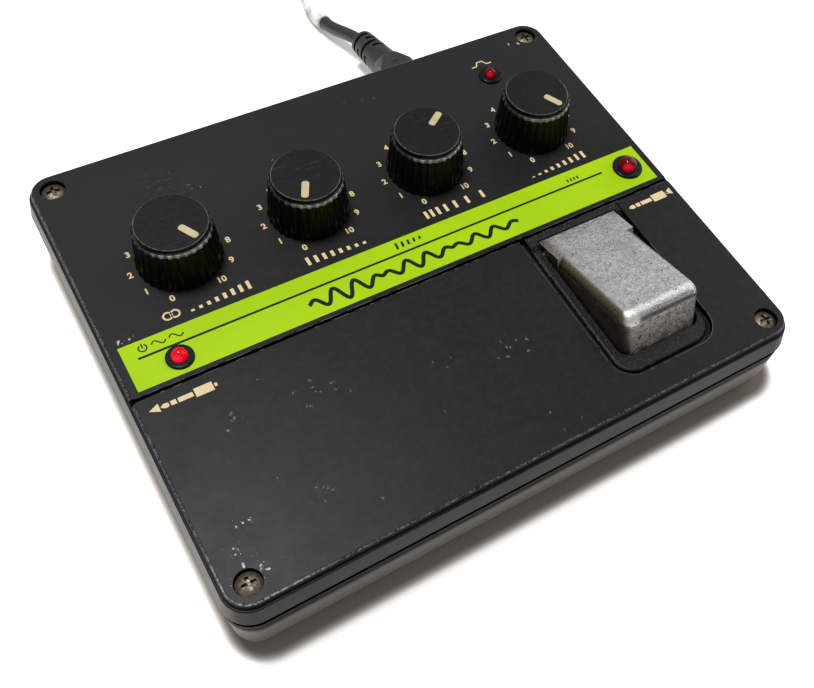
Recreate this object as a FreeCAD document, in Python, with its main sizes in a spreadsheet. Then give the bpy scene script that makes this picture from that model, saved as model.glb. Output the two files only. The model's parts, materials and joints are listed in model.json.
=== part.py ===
"""Floor-standing delay pedal: two-part cast case, four dials, foot treadle, jacks and mains cord.

Units are millimetres. +X is the input side, +Y the rear where the cord leaves, +Z up.
The origin is on the surface that the rubber feet stand on, under the middle of the case.
"""
import FreeCAD, Part

import math
import os
import re

import Sketcher
from FreeCAD import Placement, Rotation, Vector

doc = FreeCAD.newDocument("delay_pedal")

# Driving dimensions

DIMENSIONS = {
    "case_width": (189.0, "upper case at the seam, left to right"),
    "case_depth": (159.2, "upper case at the seam, front to back"),
    "case_height": (32.0, "top plate above the surface"),
    "case_corner": (8.8, "plan corner radius at the seam"),
    "screw_pitch_x": (172.0, "case screws, left to right"),
    "screw_pitch_y": (143.0, "case screws, front to back"),
    "plateau_inset": (2.15, "edge of the top plate, in from the seam outline"),
    "plateau_spread": (0.6, "how far the step below the top plate leans out"),
    "plateau_step": (2.3, "height of that step"),
    "plateau_round": (0.9, "rounding of the top plate's edge"),
    "wall_spread": (1.1, "lean of the upper case wall"),
    "upper_wall": (6.3, "height of the upper case wall, ledge to seam"),
    "ledge_round": (0.4, "rounding of the ledge under the step"),
    "seam_gap": (2.6, "height of the dark seam round the case"),
    "seam_inset": (1.7, "depth of that seam"),
    "lower_inset": (0.35, "lower case rim, in from the upper case"),
    "lower_spread": (1.3, "lean of the lower case wall"),
    "lower_round": (2.0, "rounding of the lower case's bottom edge"),
    "wall": (3.0, "case wall"),
    "plate": (3.0, "top plate"),
    "floor": (2.2, "lower case floor"),
    "foot_height": (3.0, "rubber foot under the lower case"),
    "foot_radius": (8.0, "rubber foot"),
    "foot_taper": (0.8, "how much narrower a foot is where it meets the surface"),
    "foot_web": (1.2, "rubber left under the head of a foot's screw"),
    "foot_well": (3.6, "recess in a foot for that head, radius"),
    "foot_head": (2.9, "that head, radius"),
    "foot_shank": (1.45, "that screw's shank, radius"),
    "foot_screw": (6.0, "that screw's length below its head"),
    "foot_pitch_x": (138.0, "feet, left to right"),
    "foot_pitch_y": (110.0, "feet, front to back"),
    "foot_boss": (4.0, "boss over a foot, radius and height"),
    "boss_radius": (5.2, "screw boss"),
    "head_bore": (3.8, "counterbore over a case screw, radius"),
    "head_bore_depth": (4.2, "depth of that counterbore"),
    "screw_head": (3.5, "case screw head, radius"),
    "screw_side": (1.5, "height of that head's side below its dome"),
    "screw_crown": (2.6, "height of that head with its dome"),
    "screw_shank": (2.0, "case screw shank, radius"),
    "screw_length": (17.0, "case screw below its head"),
    "screw_pilot": (15.0, "depth of the threaded hole in a lower boss"),
    "recess_span": (4.0, "cross recess in the head, tip to tip"),
    "recess_width": (1.0, "one slot of that recess"),
    "hole_ease": (0.2, "clearance hole round a screw, on its radius"),
    "groove_y": (-9.9, "groove across the top plate"),
    "groove_width": (1.1, "width of that groove"),
    "groove_depth": (1.1, "depth of that groove"),
    "groove_flare": (1.6, "rounding of the plate's corners at the groove"),
    "well_left": (32.0, "opening for the treadle, left side"),
    "well_right": (70.2, "opening for the treadle, right side"),
    "well_front": (-69.3, "opening for the treadle, front"),
    "well_corner": (8.5, "its two front corners"),
    "ring_gap_left": (2.2, "moat between the opening and the bezel ring, left"),
    "ring_gap_front": (1.8, "the same, front"),
    "ring_gap_right": (0.4, "the same, right"),
    "ring_corner": (6.3, "the ring's left front corner"),
    "ring_drop": (1.5, "bezel ring's top below the top plate"),
    "ring_round": (0.9, "rounding of the ring's outer edge"),
    "ring_bar": (0.1, "bar behind the treadle, its top below the top plate"),
    "flange_spread": (2.0, "the bezel's flange beyond the opening, and its thickness"),
    "square_corner": (0.3, "corner of an outline that looks square"),
    "treadle_left": (37.8, "treadle's body, left side"),
    "treadle_right": (67.5, "treadle's body, right side"),
    "treadle_rear": (-13.1, "rear edge of the treadle's tab"),
    "treadle_shoulder": (-23.5, "where the thick body of the treadle begins"),
    "treadle_front": (-61.2, "foot of the treadle's front wall, at the bezel ring"),
    "treadle_sink": (0.4, "rear edge of the treadle's top below the top plate"),
    "tab_inset": (0.1, "the tab's sides, in from the body's"),
    "treadle_slope": (16.0, "slope of the treadle's top, degrees"),
    "treadle_round": (4.0, "rounding of the treadle's edges"),
    "treadle_corner": (4.5, "upright corners at the front of the treadle"),
    "treadle_wall": (2.6, "wall of the hollow casting"),
    "treadle_skirt": (26.6, "lower edge of the treadle's walls above the surface"),
    "hollow_rear": (-28.4, "rear end of the treadle's hollow"),
    "crest_wall": (5.1, "metal left under the treadle's crest"),
    "hollow_bevel": (3.0, "bevel of the hollow below that"),
    "treadle_clearance": (0.5, "between the treadle's sides and the bezel ring"),
    "front_clearance": (0.85, "between its leaning front wall and the ring"),
    "rear_clearance": (0.3, "between its tab and the bar behind it"),
    "skirt_clearance": (1.5, "what the flange stands back from the ring there"),
    "hinge_y": (-16.2, "treadle's hinge axis"),
    "hinge_z": (27.6, "treadle's hinge axis above the surface"),
    "hinge_pin": (1.5, "hinge pin, radius"),
    "knuckle": (2.9, "knuckle round the hinge pin, radius"),
    "knuckle_inset": (5.0, "knuckle's ends, in from the treadle's sides"),
    "ear_width": (2.2, "hinge ears under the bezel, each"),
    "ear_reach": (3.0, "hinge ears, before and behind the axis"),
    "post_sink": (2.0, "posts inside the treadle end this far below its top"),
    "push_post": (2.6, "post that pushes the switch, radius"),
    "push_z": (27.0, "lower end of that post above the surface"),
    "switch_y": (-50.0, "foot switch's axis"),
    "switch_body": (13.0, "foot switch's body, across"),
    "switch_height": (8.0, "height of that body"),
    "switch_neck": (3.5, "threaded neck, radius"),
    "switch_neck_height": (7.0, "threaded neck above the bracket's underside"),
    "switch_button": (2.4, "switch's button, radius"),
    "button_gap": (0.4, "button's top below the post"),
    "shelf": (16.0, "underside of the switch bracket's top above the surface"),
    "sheet": (1.5, "thickness of the bracket's metal"),
    "bracket_width": (24.0, "switch bracket, left to right"),
    "bracket_depth": (34.0, "switch bracket, front to back"),
    "bracket_y": (-43.0, "middle of the switch bracket"),
    "spring_y": (-34.0, "treadle spring's axis"),
    "spring_top": (30.0, "upper end of the treadle spring above the surface"),
    "spring_radius": (3.4, "treadle spring at its wire's middle"),
    "spring_wire": (0.45, "its wire, radius"),
    "spring_turns": (6.5, "its turns"),
    "knob_pitch": (41.62, "dial to dial"),
    "knob_y": (30.4, "line of the dials"),
    "knob_gap": (0.5, "dial above the top plate"),
    "knob_base": (12.75, "dial's radius at its base"),
    "knob_shoulder": (11.35, "dial's radius at its shoulder"),
    "knob_shoulder_height": (14.4, "shoulder above the dial's base"),
    "knob_disc": (10.45, "raised disc on top, radius"),
    "knob_height": (16.2, "top of the disc above the dial's base"),
    "knob_bevel": (0.3, "bevel of the disc's edge"),
    "knob_groove": (0.45, "groove round the disc"),
    "knob_groove_depth": (0.8, "that groove's floor below the shoulder"),
    "knob_ease": (0.6, "how far the shoulder's edge comes down"),
    "skirt_wall": (2.0, "wall of the dial's hollow skirt"),
    "skirt_ceiling": (7.0, "height of the hollow above the dial's base"),
    "hub_radius": (5.0, "hub that grips the shaft"),
    "hub_start": (3.0, "lower end of the hub above the dial's base"),
    "hub_depth": (11.5, "top of the shaft's socket above the dial's base"),
    "knob_flutes": (30, "flutes round a dial"),
    "flute_radius": (1.5, "radius of one flute"),
    "flute_depth": (0.42, "depth of one flute"),
    "pointer_width": (2.2, "inlaid pointer bar"),
    "pointer_start": (2.9, "its inner end from the dial's axis"),
    "pointer_end": (9.4, "its outer end from the dial's axis"),
    "pointer_round": (0.9, "rounding of its ends"),
    "pointer_depth": (0.8, "depth of its slot"),
    "pointer_proud": (0.1, "how far it stands above the disc"),
    "shaft_radius": (3.0, "control shaft"),
    "shaft_length": (20.2, "control shaft"),
    "bushing_wall": (0.55, "threaded bushing round the shaft"),
    "bushing_height": (6.0, "bushing above the top plate's underside"),
    "control_radius": (8.5, "control's can, radius and height"),
    "dial_nut": (6.0, "nut on the bushing, across its corners, half"),
    "dial_nut_height": (2.0, "height of that nut"),
    "lamp_wall": (0.9, "wall of a lamp's sleeve"),
    "lamp_rim": (0.9, "height of a lamp's bezel above the top plate"),
    "lamp_lift": (1.1, "centre of a lamp's dome above the top plate"),
    "running_gap": (0.05, "clearance round a shaft or pin that turns"),
    "jack_y": (-14.9, "line of the two jacks"),
    "jack_z": (11.6, "line of the two jacks above the surface"),
    "jack_bore": (3.2, "bore for a quarter-inch plug, radius"),
    "jack_depth": (30.0, "length of that bore"),
    "jack_inset": (1.4, "jack's mouth, in from the side of the upper case"),
    "jack_nose": (4.6, "hole for a jack's nose, radius"),
    "jack_nose_length": (7.0, "a jack's nose"),
    "jack_body": (22.0, "length of a jack's body"),
    "jack_width": (15.0, "width of that body"),
    "jack_height": (12.8, "height of that body"),
    "inlet_x": (42.8, "mains inlet"),
    "inlet_z": (13.5, "mains inlet above the surface"),
    "inlet_width": (15.4, "opening for the inlet"),
    "inlet_height": (12.0, "height of that opening"),
    "inlet_round": (2.0, "its corners"),
    "inlet_depth": (12.0, "length of the inlet"),
    "inlet_front": (1.9, "inlet's mouth, in from the case's rear"),
    "socket_width": (11.4, "inlet's socket"),
    "socket_height": (8.0, "height of that socket"),
    "socket_depth": (8.0, "depth of that socket"),
    "contact_offset": (3.2, "inlet's pins, either side of its middle"),
    "contact_radius": (1.0, "inlet's pin, radius"),
    "connector_width": (13.4, "cord's connector, outside the case"),
    "connector_height": (13.0, "height of that connector"),
    "connector_face": (79.35, "its front face against the rear wall"),
    "connector_rear": (91.0, "its rear face"),
    "shoulder_length": (6.0, "tapered shoulder behind it"),
    "relief_base": (6.3, "strain relief at the connector, radius"),
    "relief_tip": (4.8, "strain relief at its free end, radius"),
    "slot_pitch": (3.0, "slots along the strain relief"),
    "slot_width": (1.4, "one slot"),
    "slot_core": (2.4, "what a slot leaves round the relief's axis"),
    "cord_diameter": (5.0, "mains cord"),
    "label_diameter": (6.3, "paper label wrapped round the cord"),
    "lie": (3.4, "middle of the cord above the surface where it lies"),
    "coil_pitch": (5.5, "turn to turn and layer to layer in the coil"),
    "coil_inner": (19.8, "smallest turn of the coil, radius at the cord's middle"),
    "coil_layer_turns": (3.75, "turns in each of the coil's two layers"),
    "tie_width": (23.6, "strap round the coil, across the turns"),
    "tie_height": (12.3, "its height over the two layers"),
    "tie_breadth": (6.0, "strap"),
    "tie_thickness": (0.7, "strap"),
    "board_x": (-17.0, "middle of the main board"),
    "board_y": (-29.0, "middle of the main board"),
    "board_width": (78.0, "main board, left to right"),
    "board_depth": (72.0, "main board, front to back"),
    "board_plate": (1.6, "thickness of the main board"),
    "board_lift": (4.0, "posts under the main board"),
    "board_margin": (4.0, "its screws, in from its edges"),
    "core_x": (4.0, "middle of the transformer"),
    "core_y": (58.0, "middle of the transformer"),
}

sheet = doc.addObject("Spreadsheet::Sheet", "Dims")
for row, (alias, (value, meaning)) in enumerate(DIMENSIONS.items(), start=1):
    sheet.set(f"A{row}", meaning)
    sheet.set(f"B{row}", str(value))
    sheet.setAlias(f"B{row}", alias)
doc.recompute()


def size(alias):
    """The value of one driving dimension."""
    return float(sheet.get(alias))


ALIAS = re.compile(r"\b(" + "|".join(DIMENSIONS) + r")\b")


def dims(expression):
    """Write an expression of bare aliases the way the document needs it."""
    return ALIAS.sub(r"Dims.\1", str(expression))


def measure(expression):
    """The number that an expression of aliases comes to."""
    return float(sheet.evalExpression(dims(expression)))


# Heights that several pieces share, as expressions of the driving dimensions

SEAM_TOP = "case_height - plateau_step - upper_wall"
LEDGE = "case_height - plateau_step"
RIM = f"{SEAM_TOP} - seam_gap"
PLATE_UNDER = "case_height - plate"
FLOOR_TOP = "foot_height + floor"
TREADLE_X = "(treadle_left + treadle_right) / 2"
TREADLE_WIDTH = "treadle_right - treadle_left"
SLOPE = "tan(treadle_slope)"
EAR_SPAN = f"{TREADLE_WIDTH} + 2 * (treadle_clearance + ear_width)"
GROOVE_FRONT = "groove_y - groove_width / 2"
DIAL_BASE = "case_height + knob_gap"
JACK_MOUTH = "case_width / 2 - jack_inset"
BOARD_TOP = f"{FLOOR_TOP} + board_lift + board_plate"

NODES = {}


def node(name, feature):
    """Give a finished piece its label and put it on the list of nodes."""
    feature.Label = name
    NODES[name] = feature
    return feature


# Primitives bound to the sheet


def bind(feature, **expressions):
    """Tie properties to the sheet; a double underscore stands for a dot."""
    for prop, expression in expressions.items():
        feature.setExpression(prop.replace("__", "."), dims(expression))
    return feature


def put(feature, x=0, y=0, z=0, turn=Rotation()):
    """Place a primitive; its base point follows the sheet."""
    feature.Placement = Placement(Vector(measure(x), measure(y), measure(z)), turn)
    bind(feature, Placement__Base__x=x, Placement__Base__y=y, Placement__Base__z=z)
    return feature


def box(name, width, depth, height, x=0, y=0, z=0):
    """A block centred on x and y, standing on z."""
    feature = bind(doc.addObject("Part::Box", name), Length=width, Width=depth, Height=height)
    return put(feature, f"{x} - ({width}) / 2", f"{y} - ({depth}) / 2", z)


def rod(name, radius, length, x=0, y=0, z=0, turn=Rotation()):
    feature = bind(doc.addObject("Part::Cylinder", name), Radius=radius, Height=length)
    return put(feature, x, y, z, turn)


def cone(name, radius, end_radius, length, x=0, y=0, z=0, turn=Rotation()):
    feature = bind(doc.addObject("Part::Cone", name), Radius1=radius, Radius2=end_radius, Height=length)
    return put(feature, x, y, z, turn)


ALONG_X = Rotation(Vector(0, 1, 0), 90)
AGAINST_X = Rotation(Vector(0, 1, 0), -90)
ALONG_Y = Rotation(Vector(1, 0, 0), -90)
AGAINST_Y = Rotation(Vector(1, 0, 0), 90)


def fuse(name, *pieces):
    feature = doc.addObject("Part::MultiFuse", name)
    feature.Shapes = list(pieces)
    return feature


def group(name, *pieces):
    """Separate solids of one kind kept in one node."""
    feature = doc.addObject("Part::Compound", name)
    feature.Links = list(pieces)
    return feature


def cut(name, base, *tools):
    feature = doc.addObject("Part::Cut", name)
    feature.Base = base
    feature.Tool = tools[0] if len(tools) == 1 else fuse(name + "_tools", *tools)
    return feature


def edges_where(shape, test):
    """The numbers of the edges that pass a test of the edge and its middle."""
    chosen = []
    for number, edge in enumerate(shape.Edges, start=1):
        middle = edge.valueAt((edge.FirstParameter + edge.LastParameter) / 2)
        if test(edge, middle):
            chosen.append(number)
    return chosen


def rounded(name, base, radius, test, kind="Part::Fillet"):
    """A primitive or boolean with the chosen edges rounded or chamfered."""
    doc.recompute()
    feature = doc.addObject(kind, name)
    feature.Base = base
    feature.Edges = [(number, radius, radius) for number in edges_where(base.Shape, test)]
    return feature


# Bodies made of sketches


def body(name):
    return doc.addObject("PartDesign::Body", name)


def origin_plane(part, role):
    return next(plane for plane in part.Origin.OriginFeatures if plane.Role == role)


def sketch_on(part, name, role="XY_Plane", offset="0"):
    """An empty sketch parallel to one of the body's own planes."""
    sketch = part.newObject("Sketcher::SketchObject", name)
    sketch.AttachmentSupport = [(origin_plane(part, role), "")]
    sketch.MapMode = "FlatFace"
    sketch.AttachmentOffset = Placement(Vector(0, 0, measure(offset)), Rotation())
    sketch.setExpression("AttachmentOffset.Base.z", dims(offset))
    return sketch


def hold(sketch, constraint, expression):
    """Add a dimension to a sketch and tie it to the sheet."""
    number = sketch.addConstraint(constraint)
    sketch.setExpression(f"Constraints[{number}]", dims(expression))


def hold_point(sketch, curve, end, x, y):
    """Tie one end of a curve to a place given by two expressions."""
    for kind, expression in (("DistanceX", x), ("DistanceY", y)):
        hold(sketch, Sketcher.Constraint(kind, -1, 1, curve, end, measure(expression)), expression)


def outline(sketch, corners):
    """A closed outline of straight sides through corners given as pairs of expressions."""
    spots = [Vector(measure(x), measure(y), 0) for x, y in corners]
    count = len(spots)
    for here in range(count):
        sketch.addGeometry(Part.LineSegment(spots[here], spots[(here + 1) % count]))
    for here in range(count):
        sketch.addConstraint(Sketcher.Constraint("Coincident", here, 2, (here + 1) % count, 1))
    for here, (x, y) in enumerate(corners):
        hold_point(sketch, here, 1, x, y)


def rounded_rectangle(sketch, left, right, low, high, radii):
    """Four sides joined by tangent arcs; radii go round from the right-hand low corner."""
    west, east, south, north = (measure(side) for side in (left, right, low, high))
    radius = [measure(value) for value in radii]
    corner = [(east, south, -90), (east, north, 0), (west, north, 90), (west, south, 180)]
    for (x, y, start), r in zip(corner, radius):
        centre_x = x - r if x == east else x + r
        centre_y = y - r if y == north else y + r
        circle = Part.Circle(Vector(centre_x, centre_y, 0), Vector(0, 0, 1), r)
        arc = Part.ArcOfCircle(circle, math.radians(start), math.radians(start + 90))
        sketch.addGeometry(arc)
    for number in range(4):
        here, following = sketch.Geometry[number], sketch.Geometry[(number + 1) % 4]
        sketch.addGeometry(Part.LineSegment(here.EndPoint, following.StartPoint))
    for number in range(4):
        line = 4 + number
        sketch.addConstraint(Sketcher.Constraint("Tangent", number, 2, line, 1))
        sketch.addConstraint(Sketcher.Constraint("Tangent", line, 2, (number + 1) % 4, 1))
        sketch.addConstraint(Sketcher.Constraint("Vertical" if number % 2 == 0 else "Horizontal", line))
        hold(sketch, Sketcher.Constraint("Radius", number, radius[number]), radii[number])
    for kind, line, expression in (("DistanceX", 4, right), ("DistanceX", 6, left),
                                   ("DistanceY", 7, low), ("DistanceY", 5, high)):
        hold(sketch, Sketcher.Constraint(kind, -1, 1, line, 1, measure(expression)), expression)


def case_outline(sketch, inset):
    """The case's plan outline, drawn in by an expression."""
    half_x = f"case_width / 2 - ({inset})"
    half_y = f"case_depth / 2 - ({inset})"
    corner = f"case_corner - ({inset})"
    rounded_rectangle(sketch, f"-({half_x})", half_x, f"-({half_y})", half_y, [corner] * 4)


def circles(sketch, spots, radius):
    """Equal circles at places given as pairs of expressions."""
    for number, (x, y) in enumerate(spots):
        centre = Vector(measure(x), measure(y), 0)
        sketch.addGeometry(Part.Circle(centre, Vector(0, 0, 1), measure(radius)))
        hold_point(sketch, number, 3, x, y)
        hold(sketch, Sketcher.Constraint("Radius", number, measure(radius)), radius)


def pad(part, name, sketch, length, taper="0", reverse=False, midplane=False):
    feature = part.newObject("PartDesign::Pad", name)
    feature.Profile = sketch
    feature.Reversed = reverse
    feature.Midplane = midplane
    bind(feature, Length=length, TaperAngle=taper)
    return feature


def pocket(part, name, sketch, depth, reverse=False, midplane=False):
    feature = part.newObject("PartDesign::Pocket", name)
    feature.Profile = sketch
    feature.Reversed = reverse
    feature.Midplane = midplane
    bind(feature, Length=depth)
    return feature


def fillet(part, name, base, radius, test):
    doc.recompute()
    feature = part.newObject("PartDesign::Fillet", name)
    feature.Base = (base, [f"Edge{number}" for number in edges_where(base.Shape, test)])
    bind(feature, Radius=radius)
    return feature


def close(value, expression, tolerance=0.02):
    return abs(value - measure(expression)) < tolerance


def corners_of(pitch_x, pitch_y, x="0", y="0"):
    """The four corners of a rectangle, as pairs of expressions."""
    return [(f"{x} + {side} * ({pitch_x}) / 2", f"{y} + {end} * ({pitch_y}) / 2")
            for side in (-1, 1) for end in (-1, 1)]


CASE_CORNERS = corners_of("screw_pitch_x", "screw_pitch_y")
FEET = corners_of("foot_pitch_x", "foot_pitch_y")
BOARD_CORNERS = corners_of("board_width - 2 * board_margin", "board_depth - 2 * board_margin",
                           "board_x", "board_y")
DIAL_X = [f"{place} * knob_pitch" for place in (-1.5, -0.5, 0.5, 1.5)]

# Lamps: name, place on the top plate, dome radius, bezel radius

LAMPS = [
    ("power_lamp", -75.6, -2.4, 2.3, 4.05),
    ("status_lamp", 82.6, 0.3, 3.15, 5.15),
    ("peak_lamp", 62.9, 58.4, 2.2, 4.1),
]


def build_upper_case():
    """The upper shell with its raised plate, its holes and the groove and opening in the plate."""
    part = body("upper_case_body")
    inside = f"({PLATE_UNDER}) - ({SEAM_TOP})"
    wall = sketch_on(part, "upper_wall_outline", offset=SEAM_TOP)
    case_outline(wall, "0")
    pad(part, "upper_wall_pad", wall, "upper_wall", "-atan(wall_spread / upper_wall)")
    step = sketch_on(part, "step_outline", offset=LEDGE)
    case_outline(step, "plateau_inset - plateau_spread")
    top = pad(part, "step_pad", step, "plateau_step", "-atan(plateau_spread / plateau_step)")
    ledge = fillet(part, "ledge_rounding", top, "ledge_round", on_ledge)
    fillet(part, "plateau_rounding", ledge, "plateau_round", lambda edge, at: close(at.z, "case_height"))
    cavity = sketch_on(part, "upper_cavity_outline", offset=SEAM_TOP)
    case_outline(cavity, "wall")
    pocket(part, "upper_cavity", cavity, inside, reverse=True)
    bosses = sketch_on(part, "upper_boss_circles", offset=SEAM_TOP)
    circles(bosses, CASE_CORNERS, "boss_radius")
    pad(part, "upper_bosses", bosses, inside)
    heads = sketch_on(part, "head_bore_circles", offset="case_height")
    circles(heads, CASE_CORNERS, "head_bore")
    pocket(part, "head_bores", heads, "head_bore_depth")
    shanks = sketch_on(part, "shank_hole_circles", offset="case_height")
    circles(shanks, CASE_CORNERS, "screw_shank + hole_ease")
    pocket(part, "shank_holes", shanks, "case_height")
    dials = sketch_on(part, "bushing_hole_circles", offset="case_height")
    circles(dials, [(x, "knob_y") for x in DIAL_X], "shaft_radius + bushing_wall + running_gap")
    pocket(part, "bushing_holes", dials, "case_height / 2")
    for name, x, y, dome, bezel in LAMPS:
        hole = sketch_on(part, name + "_hole_circle", offset="case_height")
        circles(hole, [(x, y)], f"{dome} + lamp_wall")
        pocket(part, name + "_hole", hole, "case_height / 2")
    groove = sketch_on(part, "groove_outline", offset="case_height")
    groove_outline(groove)
    pocket(part, "groove", groove, "groove_depth")
    well = sketch_on(part, "well_outline", offset="case_height")
    rounded_rectangle(well, "well_left", "well_right", "well_front", "groove_y",
                      ["well_corner", "square_corner", "square_corner", "well_corner"])
    pocket(part, "well", well, "case_height / 2")
    node("upper_case", part)


def on_ledge(edge, middle):
    """The outer edge of the narrow ledge below the top plate's step."""
    inset = min(measure("case_width") / 2 - abs(middle.x), measure("case_depth") / 2 - abs(middle.y))
    return close(middle.z, LEDGE) and inset < measure("plateau_inset - plateau_spread") - 0.1


def groove_outline(sketch):
    """A narrow slot across the plate whose ends open with rounded corners."""
    reach = "case_width / 2"
    mouth = "case_width / 2 - plateau_inset"
    start = f"{mouth} - groove_flare"
    half = "groove_width / 2"
    corners = []
    for side in (1, -1):
        ends = [(start, f"groove_y - {side} * {half}"),
                (mouth, f"groove_y - {side} * ({half} + groove_flare / 3)"),
                (reach, f"groove_y - {side} * ({half} + groove_flare)")]
        corners += ends if side > 0 else ends[::-1]
    mirrored = [(f"-({x})", f"2 * groove_y - ({y})") for x, y in corners]
    outline(sketch, corners + mirrored)


def build_lower_case():
    """The tray that the upper shell closes: seam lip, bosses, and holes for feet, jacks and inlet."""
    part = body("lower_case_body")
    height = f"({RIM}) - foot_height"
    tray = sketch_on(part, "tray_outline", offset=RIM)
    case_outline(tray, "lower_inset")
    base = pad(part, "tray_pad", tray, height, f"-atan(lower_spread / ({height}))", reverse=True)
    fillet(part, "tray_rounding", base, "lower_round", lambda edge, at: close(at.z, "foot_height"))
    lip = sketch_on(part, "lip_outline", offset=RIM)
    case_outline(lip, "seam_inset")
    pad(part, "lip_pad", lip, "seam_gap")
    cavity = sketch_on(part, "tray_cavity_outline", offset=SEAM_TOP)
    case_outline(cavity, "wall + lower_spread - 0.4")
    pocket(part, "tray_cavity", cavity, f"({SEAM_TOP}) - ({FLOOR_TOP})")
    bosses = sketch_on(part, "lower_boss_circles", offset=FLOOR_TOP)
    circles(bosses, CASE_CORNERS, "boss_radius")
    pad(part, "lower_bosses", bosses, f"({SEAM_TOP}) - ({FLOOR_TOP})")
    pilots = sketch_on(part, "pilot_circles", offset=SEAM_TOP)
    circles(pilots, CASE_CORNERS, "screw_shank")
    pocket(part, "pilots", pilots, "screw_pilot")
    foot_bosses = sketch_on(part, "foot_boss_circles", offset=FLOOR_TOP)
    circles(foot_bosses, FEET, "foot_boss")
    pad(part, "foot_bosses", foot_bosses, "foot_boss")
    foot_pilots = sketch_on(part, "foot_pilot_circles", offset="foot_height")
    circles(foot_pilots, FEET, "foot_shank")
    pocket(part, "foot_pilots", foot_pilots, "foot_screw - foot_web + 0.4", reverse=True)
    jacks = sketch_on(part, "jack_hole_circle", role="YZ_Plane")
    circles(jacks, [("jack_y", "jack_z")], "jack_nose")
    pocket(part, "jack_holes", jacks, "case_width * 2", midplane=True)
    inlet = sketch_on(part, "inlet_hole_outline", role="XZ_Plane")
    rounded_rectangle(inlet, "inlet_x - inlet_width / 2", "inlet_x + inlet_width / 2",
                      "inlet_z - inlet_height / 2", "inlet_z + inlet_height / 2", ["inlet_round"] * 4)
    pocket(part, "inlet_hole", inlet, "case_depth")
    node("lower_case", part)


def build_fasteners():
    """Oval-head case screws with a cross recess, rubber feet and the feet's screws."""
    screws = [case_screw(number, x, y) for number, (x, y) in enumerate(CASE_CORNERS, start=1)]
    node("case_screws", group("case_screw_set", *screws))
    feet, foot_screws = [], []
    for number, (x, y) in enumerate(FEET, start=1):
        pad_shape = cone(f"foot_cone_{number}", "foot_radius - foot_taper", "foot_radius", "foot_height",
                         x, y)
        well = rod(f"foot_well_{number}", "foot_well", "foot_height - foot_web", x, y)
        hole = rod(f"foot_hole_{number}", "foot_shank + hole_ease", "foot_height", x, y)
        feet.append(cut(f"foot_{number}", pad_shape, well, hole))
        head = rod(f"foot_head_{number}", "foot_head", "foot_web", x, y, "foot_height - 2 * foot_web")
        shank = rod(f"foot_shank_{number}", "foot_shank", "foot_screw", x, y, "foot_height - foot_web")
        foot_screws.append(fuse(f"foot_screw_{number}", head, shank))
    node("rubber_feet", group("foot_set", *feet))
    node("foot_screws", group("foot_screw_set", *foot_screws))


def case_screw(number, x, y):
    """One screw: a short cylinder under a flat dome, crossed by two slots, on a plain shank."""
    seat = "case_height - head_bore_depth"
    dome_radius = "screw_head * 1.9"
    side = rod(f"head_{number}", "screw_head", "screw_side", x, y, seat)
    dome = bind(doc.addObject("Part::Sphere", f"dome_{number}"), Radius=dome_radius)
    put(dome, x, y, f"{seat} + screw_crown - {dome_radius}")
    cap = doc.addObject("Part::Common", f"cap_{number}")
    cap.Base = dome
    cap.Tool = rod(f"cap_limit_{number}", "screw_head", "screw_crown", x, y, f"{seat} + screw_side")
    shank = rod(f"shank_{number}", "screw_shank", "screw_length", x, y, f"{seat} - screw_length")
    slot_floor = f"{seat} + screw_side - 0.4"
    slots = [box(f"recess_{number}_{turn}", width, depth, "screw_crown", x, y, slot_floor)
             for turn, (width, depth) in enumerate((("recess_span", "recess_width"),
                                                    ("recess_width", "recess_span")))]
    return cut(f"case_screw_{number}", fuse(f"screw_blank_{number}", side, cap, shank), *slots)


def treadle_top(y):
    """Height of the treadle's sloping top at a place along its length."""
    return f"case_height - treadle_sink + {SLOPE} * (treadle_rear - ({y}))"


def treadle_front_at(z):
    """The front wall stands square to the sloping top, so it leans back as it rises."""
    return f"treadle_front + {SLOPE} * (({z}) - (case_height - ring_drop))"


def treadle_crest():
    """Height where the planes of the top and the front wall meet."""
    foot = f"(treadle_front - {SLOPE} * (case_height - ring_drop))"
    return f"({treadle_top(foot)}) * cos(treadle_slope) ^ 2"


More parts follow.
